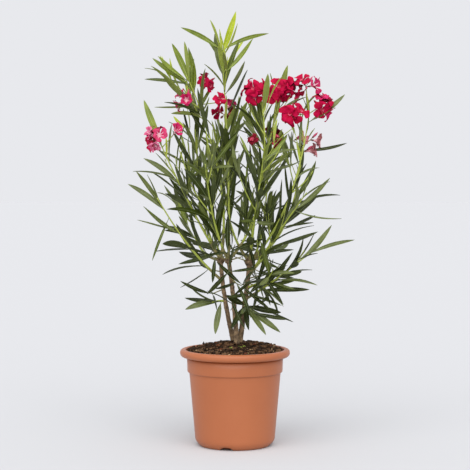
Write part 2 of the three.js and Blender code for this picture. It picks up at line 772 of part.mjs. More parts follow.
setOutShoots();
Object.values(masses).forEach(setOutHeads);
Object.values(masses).forEach(setOutFarLeaves);
Object.values(masses).forEach(setOutTwigs);
for (const mass of Object.values(masses)) {
  [mass.leafy, ...mass.twigs].forEach((spine) => growWhorls(mass, spine));
}

addPart("pot", makePot(), "pot");
addPart("soil", makeSoil(), "soil");
const grownStems = {};
for (const [name, stem] of Object.entries(STEMS)) {
  addPart(`stem_${name}`, geometryOf(stemSolid(stem, 0)), "stem");
  grownStems[name] = stemSolid(stem, CLEARANCE);
}
for (const [name, mass] of Object.entries(masses)) {
  const grownStem = grownStems[mass.shoot.stem];
  if (mass.shoot.bare) addPart(`bough_${name}`, geometryOf(boughSolid(mass, grownStem)), "bough");
  addPart(`foliage_${name}`, geometryOf(massSolid(mass, grownStem)), "foliage");
}

export default oleander;
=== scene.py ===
"""A potted oleander in flower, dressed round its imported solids.

The shrub is grown again here by the rule of the solids, in millimetres, and carried on to finer twigs and
more leaves within the same reach. Each kind of leaf, twig and petal is then joined into one mesh, in metres.
"""
import math

import bpy
import numpy as np
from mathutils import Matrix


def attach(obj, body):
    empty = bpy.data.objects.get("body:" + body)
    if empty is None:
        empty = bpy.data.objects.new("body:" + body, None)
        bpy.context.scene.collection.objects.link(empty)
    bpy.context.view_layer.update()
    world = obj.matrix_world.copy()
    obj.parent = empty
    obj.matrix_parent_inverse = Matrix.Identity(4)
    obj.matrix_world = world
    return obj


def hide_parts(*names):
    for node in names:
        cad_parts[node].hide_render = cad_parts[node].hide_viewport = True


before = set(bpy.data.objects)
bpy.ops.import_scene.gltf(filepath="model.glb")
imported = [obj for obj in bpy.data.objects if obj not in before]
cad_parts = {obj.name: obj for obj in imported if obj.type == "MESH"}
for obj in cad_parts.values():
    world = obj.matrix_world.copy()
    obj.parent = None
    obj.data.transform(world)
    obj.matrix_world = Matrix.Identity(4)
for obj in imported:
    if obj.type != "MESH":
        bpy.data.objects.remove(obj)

MM = 0.001
FULL_TURN = 2 * math.pi
GOLDEN_TURN = 2.39996
CURVE_STEPS = 200
# Up, the first direction across a limb, the way to the front and the light, and how far up a way is steep.
UP = np.array([0.0, 0.0, 1.0])
FIRST_SIDE = np.array([1.0, 0.13, 0.07])
FRONT = np.array([0.1, -1.0, 0.4])
STEEP = 0.9
# The generator of random numbers that the solids use.
STREAM = {"spread": 2654435761, "factor": 1664525, "step": 1013904223, "size": 2**32}

# The photograph's view: the frame is 1.024 m wide at the pot's axis.
CAMERA = {"distance": 3.0, "height": 0.57, "tilt": 2.12, "frame_width": 1.024, "sensor": 36}

# Sizes of the solids, in millimetres.
CLEARANCE = 0.3
POT = {
    "height": 210, "foot": 77, "chamfer": 13, "base": 87, "step_height": 160, "step": 100, "band": 104,
    "rim_height": 16.5, "rim": 120, "lip": 13, "wall": 3, "sides": 160,
}
NOTCH = {"count": 4, "width": 26, "height": 7.5, "depth": 9, "bearing": -103.7}
SOIL = {"edge": 204, "crown": 217, "crown_radius": 30}
STEMS = {
    "left": dict(foot=(-2, 30), sway=(-22, 14, 318), knob=(-31, 8, 404), radius=5.2, knob_radius=9),
    "centre": dict(foot=(4, 2), sway=(-3, 0, 315), knob=(-14, -14, 404), radius=5.6, knob_radius=8.5),
    "right": dict(foot=(10, 17), sway=(23, 12, 318), knob=(32, 4, 400), radius=5.8, knob_radius=10),
}
STEM = {"flare": 0.18, "flare_length": 16, "taper": 0.82, "lines": 10}

# Each shoot as in the solids: its stem, how far up that it leaves, bearing and climb, tip, bare share, side
# twigs, the tips of its furthest leaves, and its flower heads: middle, count of blossoms, bearing and colour.
SHOOTS = {
    "left_low": dict(
        stem="left", start=0.72, bearing=185, climb=40, tip=(-168, -25, 540), bare=0.16, twigs=0,
        reach=[(-232, -20, 570), (-214, -25, 598), (-197, -34, 522), (-180, -12, 403)],
    ),
    "left_flower": dict(
        stem="left", bearing=210, climb=55, tip=(-155, -62, 648), bare=0.16, twigs=1,
        reach=[(-194, -60, 749), (-196, -50, 625)],
        heads=[(-182, -68, 676, 5, 200, "pink"), (-124, -60, 684, 1, -60, "pink")],
    ),
    "left_tall": dict(
        stem="left", bearing=10, climb=80, tip=(-106, 12, 808), bare=0.14, twigs=2,
        reach=[(-137, 0, 875), (-102, 22, 868), (-180, 10, 844), (-198, 20, 799)],
        heads=[(-118, 4, 762, 2, 215, "pink")],
    ),
    "left_cluster": dict(
        stem="left", bearing=128, climb=44, tip=(-82, 55, 745), bare=0.14, twigs=1,
        heads=[(-60, 44, 800, 2, -70, "crimson"), (-36, -6, 758, 1, -85, "crimson")],
    ),
    "back_left": dict(stem="left", bearing=92, climb=8, tip=(-110, 135, 640), bare=0.16, twigs=2),
    "left_behind": dict(stem="left", bearing=160, climb=2, tip=(-98, 92, 540), bare=0.14, twigs=1),
    "leader": dict(
        stem="centre", bearing=85, climb=72, tip=(-29, 20, 862), bare=0.12, twigs=2,
        reach=[(2, 10, 945), (-43, 20, 903), (-118, 15, 911), (74, 25, 899)],
    ),
    "centre_flower": dict(
        stem="centre", bearing=-15, climb=46, tip=(58, -52, 744), bare=0.14, twigs=2,
        heads=[(40, -60, 776, 3, -100, "crimson"), (72, -50, 770, 1, -80, "crimson")],
    ),
    "front_left": dict(stem="centre", bearing=-120, climb=44, tip=(-62, -120, 612), bare=0.16, twigs=2),
    # Its dark heads are painted shade, for blossoms that lie in shade.
    "right_front": dict(
        stem="right", bearing=-85, climb=46, tip=(62, -105, 640), bare=0.14, twigs=2,
        heads=[(86, -58, 672, 2, -70, "dark"), (40, -80, 664, 1, -95, "dark")],
    ),
    "right_centre": dict(
        stem="right", bearing=60, climb=82, tip=(98, 12, 752), bare=0.12, twigs=3, reach=[(115, 16, 829)],
        heads=[(102, -4, 784, 2, -90, "crimson"), (128, 2, 782, 2, -60, "crimson")],
    ),
    "right_head": dict(
        stem="right", bearing=-26, climb=42, tip=(160, -22, 722), bare=0.14, twigs=2, reach=[(238, -10, 764)],
        heads=[
            (126, -48, 728, 2, -95, "crimson"), (164, -8, 792, 2, -60, "pink"),
            (196, -24, 748, 4, -50, "crimson"),
        ],
    ),
    "right_faded": dict(
        stem="right", bearing=24, climb=22, tip=(150, 78, 655), bare=0.16, twigs=1,
        reach=[(249, 62, 661), (180, 70, 620)],
        heads=[
            (140, 56, 676, 1, -60, "faded"), (184, 70, 676, 1, 0, "faded"), (168, 66, 650, 1, -30, "faded"),
        ],
    ),
    # Its dark head is painted shade, for blossoms that lie in shade.
    "back_right": dict(
        stem="right", bearing=72, climb=10, tip=(78, 150, 650), bare=0.16, twigs=2,
        heads=[(88, 128, 682, 2, 80, "dark")],
    ),
    "back_centre": dict(
        stem="right", bearing=128, climb=34, tip=(-22, 150, 700), bare=0.16, twigs=2,
        heads=[(-26, 164, 738, 2, 95, "crimson")],
    ),
    "right_mid": dict(
        stem="right", start=0.78, bearing=-42, climb=50, tip=(152, -82, 552), bare=0.14, twigs=0,
        reach=[(226, -80, 497), (202, -70, 583)],
    ),
    "right_behind": dict(
        stem="right", start=0.84, bearing=38, climb=24, tip=(92, 84, 490), bare=0.14, twigs=1,
    ),
    "right_spur": dict(
        stem="right", start=0.64, bearing=-38, climb=16, tip=(84, -54, 384), bare=0, twigs=1,
        reach=[(104, -66, 308), (128, -74, 346)],
    ),
    "right_low": dict(
        stem="right", start=0.5, bearing=-20, climb=30, tip=(158, -48, 420), bare=0.16, twigs=1,
        reach=[(258, -40, 450), (208, -44, 482), (178, -44, 352)],
    ),
    "low_whorl": dict(
        stem="right", start=0.42, bearing=-88, climb=10, tip=(28, -38, 308), bare=0, twigs=0,
        reach=[(67, -36, 244), (98, -40, 250), (100, -30, 292), (30, -50, 256), (-8, -40, 258)],
    ),
    "left_hanging": dict(
        stem="left", start=0.47, bearing=192, climb=18, tip=(-50, 2, 312), bare=0, twigs=0,
        reach=[(-109, 0, 296), (-43, -10, 243)],
    ),
}
SHOOT = {"radius": 3, "tip_radius": 1.1, "step": 40, "bend": 0.42}
TWIG = {
    "radius": 1.6, "length": 84, "size_swing": 0.2, "tilt": 38, "rise": 0.3, "first": 0.42, "middle": 0.6,
    "last": 0.78, "clear": 6, "tries": 4, "retry_turn": 0.4,
}
WHORL = {"leaves": 3, "spacing": 50, "tip_spacing": 28, "first": 10, "turn_swing": 0.2}
LEAF = {
    "length": 110, "far_length": 102, "far_step": 4, "youngest": 0.6, "growth": 0.6, "size_swing": 0.12,
    "width": 14, "width_swing": 0.15, "least_width": 9, "tilt": 56, "tip_tilt": 18, "tilt_swing": 12,
    "ageing": 130, "droop": 0.07, "tries": 4, "close_up": 0.7, "blade": (0.3, 0.5, 0.75, 1), "petiole": 0.14,
    "edges": (0.3, 0.46, 0.65),
}
# How much nearer its own mass than any other a leaf stays, its room round other things, and its least height.
ROOM = {"margin": 4, "limb": 2.5, "blossom": 3, "leaf": 5, "lowest": 228}
HEAD = {
    "base": 22, "spread": 20, "wider": 10, "widest": 4, "lean_swing": 0.12, "bud_share": 0.9, "bud_lean": 14,
    "climb": 28, "stalk": 1.2,
}
BLOSSOM = {"radius": 17, "length": 26}
BUD = {"length": 28, "width": 6}

# What is finer here than in the solids: short twigs along the shoots, leafy spurs on the stems and their
# knobs, and more blossoms in the full heads, in several tones. A spur on a stem has the share of the stem's
# length at which it springs, and a bearing.
FINE = {
    "twigs": 5, "length": 50, "first": 0.08, "last": 0.9, "radius": 1.2, "size": 0.82, "margin": -16,
    "leaf": 4, "inner": 115, "inner_high": 175, "high": 600, "low": 440, "top": 770,
}
SPUR = {
    "count": 3, "length": 26, "climb": 34, "climb_swing": 22, "radius": 1.5, "size": 0.76, "age": 0.72,
    "leaf": 4, "narrow": 0.92, "sunk": 0.6,
    "on_stems": [
        ("left", 0.62, 215), ("left", 0.84, 165), ("centre", 0.6, -95), ("centre", 0.78, -70),
        ("right", 0.38, 15), ("right", 0.48, -150), ("right", 0.56, -80), ("right", 0.68, -110),
        ("right", 0.76, -20), ("right", 0.86, 60), ("right", 0.3, -55), ("right", 0.62, -50),
        ("centre", 0.88, -95), ("right", 0.93, -35), ("right", 0.7, 8), ("right", 0.82, -70),
        ("centre", 0.74, -48),
    ],
}
FILL = {"share": 0.5, "lean": 1.2, "length": (20, 33), "apart": 18, "tries": 30}
# The dark tone dealt among crimson blossoms is painted shade between them.
TONES = {
    "crimson": ("crimson", "crimson", "crimson", "rose", "dark"),
    "pink": ("rose", "rose", "crimson", "pink", "blush"),
}
SEEDS = {
    "fine": 500, "spur_places": 540, "spurs": 541, "fill": 700, "leaves": 800, "thinned": 72, "greyed": 73,
    "flowers": 43, "soil": 5,
}

# The tubes of a mass: the piece that they belong to, their radii at the foot and the tip, and their sides.
TUBE_STEP = 8
TUBES = {
    "twigs": ("shoots", 1.1 * TWIG["radius"], 0.8, 7),
    "fine_twigs": ("shoots", FINE["radius"], 0.6, 6),
    "spurs": ("boughs", SPUR["radius"], 1.0, 7),
    "stalks": ("shoots", HEAD["stalk"], 0.9 * HEAD["stalk"], 6),
}
SHOOT_TUBE = {"sides": 8, "swelling": 0.1, "swell_spacing": 40, "swell_edge": 6}
BOUGH_TUBE = {"step": 3, "foot": 1.15, "sides": 12, "phase": 9, "relief": 0.25}
STEM_TUBE = {"step": 1.6, "sides": 28, "phase": 2.1, "relief": 0.5}


class Stream:
    """Seeded random numbers, the same as the solids draw."""

    def __init__(self, seed):
        self.state = seed * STREAM["spread"] % STREAM["size"]

    def draw(self):
        self.state = (self.state * STREAM["factor"] + STREAM["step"]) % STREAM["size"]
        return self.state / STREAM["size"]

    def swing(self, amount):
        return (self.draw() * 2 - 1) * amount


def lerp(low, high, share):
    return low + (high - low) * share


def clamp(value, low=0.0, high=1.0):
    return max(low, min(high, value))


def unit(vector):
    return vector / math.sqrt(vector @ vector)


def point(*place):
    return np.array(place, float)


def heading(bearing, climb):
    """The unit vector at a bearing round from +X towards +Y, and a climb above the horizon."""
    turn, rise = math.radians(bearing), math.radians(climb)
    return point(math.cos(rise) * math.cos(turn), math.cos(rise) * math.sin(turn), math.sin(rise))


class Curve:
    """A quadratic Bezier of three points, measured along its length."""

    def __init__(self, start, bend, end):
        self.start, self.bend, self.end = start, bend, end
        self.shares = np.linspace(0, 1, CURVE_STEPS + 1)
        self.lengths = lengths_along(self.at(self.shares))
        self.length = self.lengths[-1]

    def at(self, share):
        t = np.atleast_1d(share)[:, None]
        return (1 - t) ** 2 * self.start + 2 * (1 - t) * t * self.bend + t * t * self.end

    def even(self, share):
        """The Bezier's own share at a share of the length."""
        return np.interp(np.asarray(share) * self.length, self.lengths, self.shares)

    def tangents(self, share):
        t = np.atleast_1d(share)[:, None]
        along = (1 - t) * (self.bend - self.start) + t * (self.end - self.bend)
        return along / np.linalg.norm(along, axis=1)[:, None]


def lengths_along(points):
    return np.concatenate([[0], np.cumsum(np.linalg.norm(np.diff(points, axis=0), axis=1))])


def straight(start, end):
    return Curve(start, (start + end) / 2, end)


def spine_of(curve, step, low=0.0, high=1.0):
    """Frames at even steps along a stretch of a curve: points, tangents and two directions across."""
    count = max(1, math.ceil(curve.length * (high - low) / step))
    shares = curve.even(np.linspace(low, high, count + 1))
    points, along = curve.at(shares), curve.tangents(shares)
    side, sides = FIRST_SIDE, []
    for tangent in along:
        side = unit(side - (side @ tangent) * tangent)
        sides.append(side)
    sides = np.array(sides)
    across = np.cross(along, sides)
    return {"points": points, "along": along, "side": sides, "across": across, "reach": lengths_along(points)}


def frame_at(spine, distance):
    """The spine's frame at a distance from its start: point, tangent, side and across."""
    reach = spine["reach"]
    i = int(clamp(np.searchsorted(reach, distance), 1, len(reach) - 1))
    share = clamp((distance - reach[i - 1]) / (reach[i] - reach[i - 1]))
    near = i - 1 if share < 0.5 else i
    place = lerp(spine["points"][i - 1], spine["points"][i], share)
    return place, spine["along"][near], spine["side"][near], spine["across"][near]


def tilted(place, turn, tilt):
    """The direction that leaves a frame at a tilt from its tangent, turned round it."""
    _, along, side, across = place
    around = side * math.cos(turn) + across * math.sin(turn)
    return along * math.cos(tilt) + around * math.sin(tilt)


def stem_curve(stem):
    foot = point(*stem["foot"], SOIL["crown"] + CLEARANCE)
    sway, knob = point(*stem["sway"]), point(*stem["knob"])
    return Curve(foot, 2 * sway - (foot + knob) / 2, knob)


def shoot_curve(shoot):
    stem = STEMS[shoot["stem"]]
    start = stem_curve(stem).at(shoot["start"])[0] if "start" in shoot else point(*stem["knob"])
    tip = point(*shoot["tip"])
    reach = np.linalg.norm(tip - start) * SHOOT["bend"]
    return Curve(start, start + heading(shoot["bearing"], shoot["climb"]) * reach, tip)


def twig_curve(place, turn, length):
    start, along = place[0], tilted(place, turn, math.radians(TWIG["tilt"]))
    return Curve(start, start + along * length / 2, start + unit(along + UP * TWIG["rise"]) * length)


def stretches(points):
    """The stretches of one or more lines, each from a point to the next."""
    return np.stack([points[..., :-1, :], points[..., 1:, :]], axis=-2).reshape(-1, 2, 3)


def distances(points, lines):
    """The distance from each point to each stretch of line."""
    span = lines[:, 1] - lines[:, 0]
    offset = points[:, None] - lines[:, 0]
    share = np.clip((offset * span).sum(2) / np.maximum((span * span).sum(1), 1e-9), 0, 1)
    return np.sqrt(((offset - share[..., None] * span) ** 2).sum(2))


class Mass:
    """One shoot with its twigs, leaves and flower heads."""

    def __init__(self, name, index):
        self.name, self.index, self.shoot = name, index, SHOOTS[name]
        self.node, self.bare = "foliage_" + name, self.shoot["bare"]
        self.curve = shoot_curve(self.shoot)
        start = self.bare + CLEARANCE / self.curve.length if self.bare else 0
        self.leafy = spine_of(self.curve, SHOOT["step"], start, 1)
        self.length = self.leafy["reach"][-1]
        self.random = Stream(index + 1)
        self.limbs = {kind: [] for kind in TUBES}
        self.blossoms, self.buds, self.leaves, self.blades = [], [], [], []
        self.blossom_size = FLOWER["sizes"].get(name, 1)
        self.lines = stretches(self.leafy["points"])

    def add_line(self, points):
        self.lines = np.concatenate([self.lines, stretches(points)])
        space.stale = True


class Space:
    """The lines of all masses and limbs, and the places of all blossoms."""

    def __init__(self):
        self.masses, self.limbs, self.limb_radii = [], np.zeros((0, 2, 3)), []
        self.stale = True

    def add_limb(self, points, radius):
        self.limbs = np.concatenate([self.limbs, stretches(points)])
        self.limb_radii += [radius] * (len(points) - 1)

    def refresh(self):
        """Gathers all lines and blossoms again once one has been added."""
        if not self.stale:
            return
        self.lines = np.concatenate([mass.lines for mass in self.masses])
        self.firsts = np.cumsum([0] + [len(mass.lines) for mass in self.masses[:-1]])
        blossoms = [(mass.index, blossom["end"]) for mass in self.masses for blossom in mass.blossoms]
        self.owners = np.array([owner for owner, _ in blossoms], int)
        self.blossoms = np.array([end for _, end in blossoms]).reshape(-1, 3)
        self.stale = False

    def to_masses(self, points):
        """The distance from each point to each mass's lines."""
        self.refresh()
        return np.minimum.reduceat(distances(points, self.lines), self.firsts, axis=1)

    def to_others(self, mass, points):
        return np.delete(self.to_masses(points), mass.index, axis=1)

    def clear_of_limbs(self, points, room):
        return bool((distances(points, self.limbs) > np.array(self.limb_radii) + room).all())

    def clear_of_blossoms(self, mass, points, room):
        """True where the points keep their distance from the blossoms of the other masses."""
        foreign = self.blossoms[self.owners != mass.index]
        gaps = np.linalg.norm(points[:, None] - foreign, axis=2)
        return bool((gaps > BLOSSOM["radius"] + room).all())

    def owned(self, mass, points, margin):
        """True where every point lies nearest its own mass, and clear of limbs and others' blossoms."""
        if (points[:, 2] <= ROOM["lowest"]).any() or not self.clear_of_limbs(points, ROOM["limb"]):
            return False
        own = self.to_masses(points)[:, mass.index, None]
        nearest = (self.to_others(mass, points) > own + margin).all()
        return bool(nearest) and self.clear_of_blossoms(mass, points, ROOM["blossom"])

    def line_is_clear(self, mass, points, room):
        """A twig or stalk keeps its distance from every limb and every line of the other masses."""
        away = self.to_others(mass, points[1:])
        return bool((away > room).all()) and self.clear_of_limbs(points[1:], room)

    def flower_fits(self, mass, end, room):
        points = end[None]
        clear = bool((self.to_others(mass, points) > room + ROOM["blossom"]).all())
        return clear and self.clear_of_blossoms(mass, points, room) and self.clear_of_limbs(points, room)


space = Space()


def set_out_shoots():
    for stem in STEMS.values():
        knob = point(*stem["knob"])
        space.add_limb(stem_curve(stem).at(np.linspace(0, 1, STEM["lines"] + 1)), stem["radius"])
        space.add_limb(np.array([knob, knob + UP]), stem["knob_radius"])
    for index, name in enumerate(SHOOTS):
        mass = Mass(name, index)
        space.masses.append(mass)
        if mass.bare:
            space.add_limb(spine_of(mass.curve, SHOOT["step"], 0, mass.bare)["points"], SHOOT["radius"])


def head_frame(head):
    """The foot of a flower head, and the frame there that looks along its axis."""
    x, y, z, _, bearing, _ = head
    middle = point(x, y, z)
    base = middle - heading(bearing, HEAD["climb"]) * HEAD["base"]
    return base, frame_at(spine_of(straight(base, middle), HEAD["base"]), 0)


def set_out_heads(mass):
    """Each head's blossoms stand in a ring round its axis, and its buds in and inside that ring."""
    for head in mass.shoot.get("heads", []):
        count, kind = head[3], head[5]
        base, place = head_frame(head)
        tip = mass.leafy["points"][-1]
        mass.limbs["stalks"].append(straight(tip, base))
        mass.add_line(np.array([tip, base]))
        start = mass.random.draw() * FULL_TURN
        spread = HEAD["spread"] + HEAD["wider"] * min(count, HEAD["widest"]) if count > 1 else 0
        for i in range(count * 2):
            is_blossom = i % 2 == 0
            lean = math.radians(spread if is_blossom else spread * HEAD["bud_share"] + HEAD["bud_lean"])
            lean += mass.random.swing(HEAD["lean_swing"])
            outward = tilted(place, start + i / (count * 2) * FULL_TURN, lean)
            end = base + outward * (BLOSSOM if is_blossom else BUD)["length"]
            if space.flower_fits(mass, end, BLOSSOM["radius"] if is_blossom else BUD["width"]):
                mass.add_line(np.array([base, end]))
                flower = {"base": base, "end": end, "outward": outward, "kind": kind, "alone": count == 1}
                (mass.blossoms if is_blossom else mass.buds).append(flower)


def set_out_twigs(mass):
    """Side twigs are spread along their shoot. One that has no room is tried again further round it."""
    twigs = mass.shoot["twigs"]
    start = mass.random.draw() * FULL_TURN
    for i in range(twigs):
        share = lerp(TWIG["first"], TWIG["last"], i / (twigs - 1)) if twigs > 1 else TWIG["middle"]
        size = TWIG["length"] * (1 + mass.random.swing(TWIG["size_swing"]))
        for attempt in range(TWIG["tries"]):
            turn = start + (i + attempt * TWIG["retry_turn"]) * GOLDEN_TURN
            curve = twig_curve(frame_at(mass.leafy, mass.length * share), turn, size)
            if add_twig(mass, "twigs", curve, TWIG["clear"] + SHOOT["radius"]):
                break


def add_twig(mass, kind, curve, room):
    """A twig joins its mass where it has room."""
    points = spine_of(curve, SHOOT["step"])["points"]
    clear = space.line_is_clear(mass, points, room)
    if clear:
        mass.limbs[kind].append(curve)
        mass.add_line(points)
    return clear


def leaf_points(leaf, shares, sideways=0.0):
    """Points at shares of a leaf's length, set off sideways and bent down by its droop."""
    shares = np.asarray(shares, float)[:, None]
    flat = leaf["root"] + leaf["length"] * shares * leaf["along"] + sideways * leaf["side"]
    return flat - leaf["droop"] * leaf["length"] * shares**2 * leaf["normal"]


def apart(blade, blades, room):
    """True where a blade keeps its distance from every other blade."""
    if not blades:
        return True
    others = np.array(blades)
    if (distances(blade, stretches(others)) <= room).any():
        return False
    return not (distances(others.reshape(-1, 3), stretches(blade)) <= room).any()


def leaf_fits(mass, leaf, margin, room):
    """True for a leaf that keeps to its mass's own space, and away from its blossoms and other leaves."""
    blade = leaf_points(leaf, LEAF["blade"])
    edges = [leaf_points(leaf, LEAF["edges"], way * leaf["width"] / 2) for way in (1, -1)]
    points = np.vstack([leaf_points(leaf, [LEAF["petiole"]]), blade, *edges])
    ends = np.array([blossom["end"] for blossom in mass.blossoms]).reshape(-1, 3)
    clear = (np.linalg.norm(blade[:, None] - ends, axis=2) > BLOSSOM["radius"]).all()
    if not (clear and space.owned(mass, points, margin) and apart(blade, mass.blades, room)):
        return False
    mass.blades.append(blade)
    return True


def set_out_far_leaves(mass):
    """The leaves that reach furthest are set out before the whorls, and belong to the lines of their mass."""
    for tip in mass.shoot.get("reach", []):
        leaf = leaf_to(mass, point(*tip))
        blade = leaf_points(leaf, LEAF["blade"])
        if space.line_is_clear(mass, blade, leaf["width"]):
            mass.leaves.append(leaf)
            mass.blades.append(blade)
            mass.add_line(blade)


def leaf_to(mass, tip):
    """A leaf from the place on the shoot that suits its length best to a tip that is given."""
    distance = np.arange(WHORL["first"], mass.length, LEAF["far_step"])
    places = [frame_at(mass.leafy, d) for d in distance]
    best = int(np.argmin([abs(np.linalg.norm(place[0] - tip) - LEAF["far_length"]) for place in places]))
    root, shoot_along = places[best][:2]
    along = unit(tip - root)
    normal = unit(shoot_along - (shoot_along @ along) * along)
    return {
        "root": root, "along": along, "normal": normal, "side": np.cross(along, normal), "far": True,
        "droop": 0.0, "length": np.linalg.norm(tip - root), "width": LEAF["width"],
        "age": clamp((mass.length - distance[best]) / LEAF["ageing"]),
    }


def leaf_from(random, place, turn, age, scale, tries=1, fits=lambda leaf: True):
    """A leaf of an age from 0 to 1. One that doesn't fit is tried again closer to its shoot."""
    size = LEAF["length"] * lerp(LEAF["youngest"], 1, age ** LEAF["growth"])
    size *= (1 + random.swing(LEAF["size_swing"])) * scale
    width = LEAF["width"] * (size / LEAF["length"]) * (1 + random.swing(LEAF["width_swing"]))
    around = turn + random.swing(WHORL["turn_swing"])
    tilt = math.radians(lerp(LEAF["tip_tilt"], LEAF["tilt"], age) + random.swing(LEAF["tilt_swing"]))
    for _ in range(tries):
        along, normal = tilted(place, around, tilt), tilted(place, around, tilt - math.pi / 2)
        leaf = {
            "root": place[0], "along": along, "normal": normal, "side": np.cross(along, normal), "far": False,
            "droop": LEAF["droop"], "length": size, "width": max(width, LEAF["least_width"]), "age": age,
        }
        if fits(leaf):
            return leaf
        tilt *= LEAF["close_up"]
    return None


def grow_whorls(mass, spine, random, scale=1.0, margin=ROOM["margin"], room=ROOM["leaf"]):
    """Whorls stand along a spine, each turned half a leaf's share, with older leaves further from the tip.

    A leaf that has no room in its mass's own space is left out.
    """
    def fits(leaf):
        return leaf_fits(mass, leaf, margin, room)

    length = spine["reach"][-1]
    turn = random.draw() * FULL_TURN
    distance = WHORL["first"]
    while distance < length:
        age = clamp((length - distance) / LEAF["ageing"])
        place = frame_at(spine, distance)
        for i in range(WHORL["leaves"]):
            around = turn + i / WHORL["leaves"] * FULL_TURN
            leaf = leaf_from(random, place, around, age, scale, LEAF["tries"], fits)
            if leaf:
                mass.leaves.append(leaf)
        turn += FULL_TURN / WHORL["leaves"] / 2
        distance += lerp(WHORL["tip_spacing"], WHORL["spacing"], age)


def fill_heads(mass):
    """More blossoms within the ring of each full head, so that petals meet, and a tone for each blossom."""
    random = Stream(SEEDS["fill"] + mass.index)
    for head in mass.shoot.get("heads", []):
        count, kind = head[3], head[5]
        if count < 2:
            continue
        base, place = head_frame(head)
        added = 0
        for _ in range(FILL["tries"]):
            outward = tilted(place, random.draw() * FULL_TURN, random.draw() * FILL["lean"])
            end = base + outward * lerp(*FILL["length"], random.draw())
            near = min(np.linalg.norm(blossom["end"] - end) for blossom in mass.blossoms)
            if near >= FILL["apart"] and added < round(count * FILL["share"]):
                foot = end - outward * BLOSSOM["length"]
                flower = {"base": foot, "end": end, "outward": outward, "kind": kind, "alone": False}
                mass.blossoms.append(flower)
                added += 1
    for flower in mass.blossoms:
        tones = TONES.get(flower["kind"], (flower["kind"],))
        flower["kind"] = tones[0 if flower["alone"] else int(random.draw() * len(tones))]


def grow_fine_twigs(mass):
    """Carries a mass on to short leafy twigs between its side twigs."""
    random = Stream(SEEDS["fine"] + mass.index)
    start = random.draw() * FULL_TURN
    for i in range(FINE["twigs"]):
        share = lerp(FINE["first"], FINE["last"], i / (FINE["twigs"] - 1))
        curve = twig_curve(frame_at(mass.leafy, mass.length * share), start + i * GOLDEN_TURN, FINE["length"])
        x, y, z = curve.end
        limit = FINE["inner_high"] if z > FINE["high"] else FINE["inner"]
        if math.hypot(x, y) < limit and FINE["low"] < z < FINE["top"]:
            add_twig(mass, "fine_twigs", curve, TWIG["clear"])
    for curve in mass.limbs["fine_twigs"]:
        grow_whorls(mass, spine_of(curve, SHOOT["step"]), random, FINE["size"], FINE["margin"], FINE["leaf"])


def spur_places():
    """Where leafy spurs spring: all round each knob, and here and there along the stems."""
    random = Stream(SEEDS["spur_places"])
    for name, stem in STEMS.items():
        start = random.draw() * 360
        for i in range(SPUR["count"]):
            way = heading(start + i * 360 / SPUR["count"], SPUR["climb"] + random.swing(SPUR["climb_swing"]))
            yield name, point(*stem["knob"]), way, stem["knob_radius"]
    for name, share, bearing in SPUR["on_stems"]:
        way = heading(bearing, random.swing(SPUR["climb_swing"]))
        yield name, stem_curve(STEMS[name]).at(share)[0], way, STEMS[name]["radius"]


def grow_spurs():
    """Short leafy spurs on the stems and their knobs, each with a whorl of leaves."""
    random = Stream(SEEDS["spurs"])
    blades = [blade for mass in space.masses for blade in mass.blades]
    for name, root, way, radius in spur_places():
        mass = next(m for m in space.masses if m.shoot["stem"] == name)
        curve = straight(root + way * radius * SPUR["sunk"], root + way * (radius + SPUR["length"]))
        mass.limbs["spurs"].append(curve)
        spur = spine_of(curve, SPUR["length"] / 2)
        place = frame_at(spur, spur["reach"][-1])
        turn = random.draw() * FULL_TURN
        for i in range(WHORL["leaves"]):
            leaf = leaf_from(random, place, turn + i * GOLDEN_TURN, SPUR["age"], SPUR["size"])
            leaf["width"] *= SPUR["narrow"]
            blade = leaf_points(leaf, LEAF["blade"])
            clear = space.clear_of_limbs(blade, ROOM["limb"]) and blade[:, 2].min() > ROOM["lowest"]
            if clear and apart(blade, blades, SPUR["leaf"]):
                mass.leaves.append(leaf)
                blades.append(blade)


def grow_plant():
    set_out_shoots()
    for set_out in (set_out_heads, set_out_far_leaves, set_out_twigs):
        for mass in space.masses:
            set_out(mass)
    for mass in space.masses:
        for spine in [mass.leafy, *(spine_of(curve, SHOOT["step"]) for curve in mass.limbs["twigs"])]:
            grow_whorls(mass, spine, mass.random)
    for mass in space.masses:
        fill_heads(mass)
        grow_fine_twigs(mass)
    grow_spurs()


# Finishes: roughness, the scale of the mottle, the strength and scale of the fine relief, detail and gloss.
FINISH = {
    "leaves": dict(roughness=0.4, scale=45, bump=0.25, grain=900),
    "leaf_undersides": dict(roughness=0.62, scale=45, bump=0.3, grain=1200, specular=0.16),
    "leaf_midribs": dict(roughness=0.55, scale=60, bump=0.1, grain=800),
    "shoots": dict(roughness=0.5, scale=30, bump=0.2, grain=600),
    "boughs": dict(roughness=0.7, scale=60, bump=0.5, grain=500),
    "stems": dict(roughness=0.8, scale=130, bump=0.9, grain=500, detail=8),
    "petals": dict(roughness=0.7, scale=120, bump=0.2, grain=1500, specular=0.12),
    "flower_parts": dict(roughness=0.55, scale=200, bump=0.2, grain=1200),
    "plastic": dict(roughness=0.42, scale=9, bump=0.12, grain=2200, specular=0.4),
    "peat": dict(roughness=0.95, scale=300, bump=1.0, grain=900, detail=8, specular=0.15),
    "chips": dict(roughness=0.9, scale=250, bump=0.8, grain=900, detail=6, specular=0.15),
    "floor": dict(roughness=0.9, scale=2, specular=0.0),
}
# Where the mottle's two colours stop, how uneven the roughness is, and the fine relief's depth in metres.
MOTTLE = {"stops": (0.32, 0.68), "uneven": 0.08, "relief": 0.0006}
# The two colours of each piece that has a finish of its own, as seen on a screen from 0 to 255.
COLOURS = {
    "shoots": ((146, 160, 56), (172, 182, 78)), "boughs": ((96, 92, 52), (140, 132, 78)),
    "stems": ((64, 48, 31), (150, 124, 92)), "plastic": ((163, 93, 56), (169, 98, 60)),
    "peat": ((32, 21, 12), (66, 47, 31)),
}


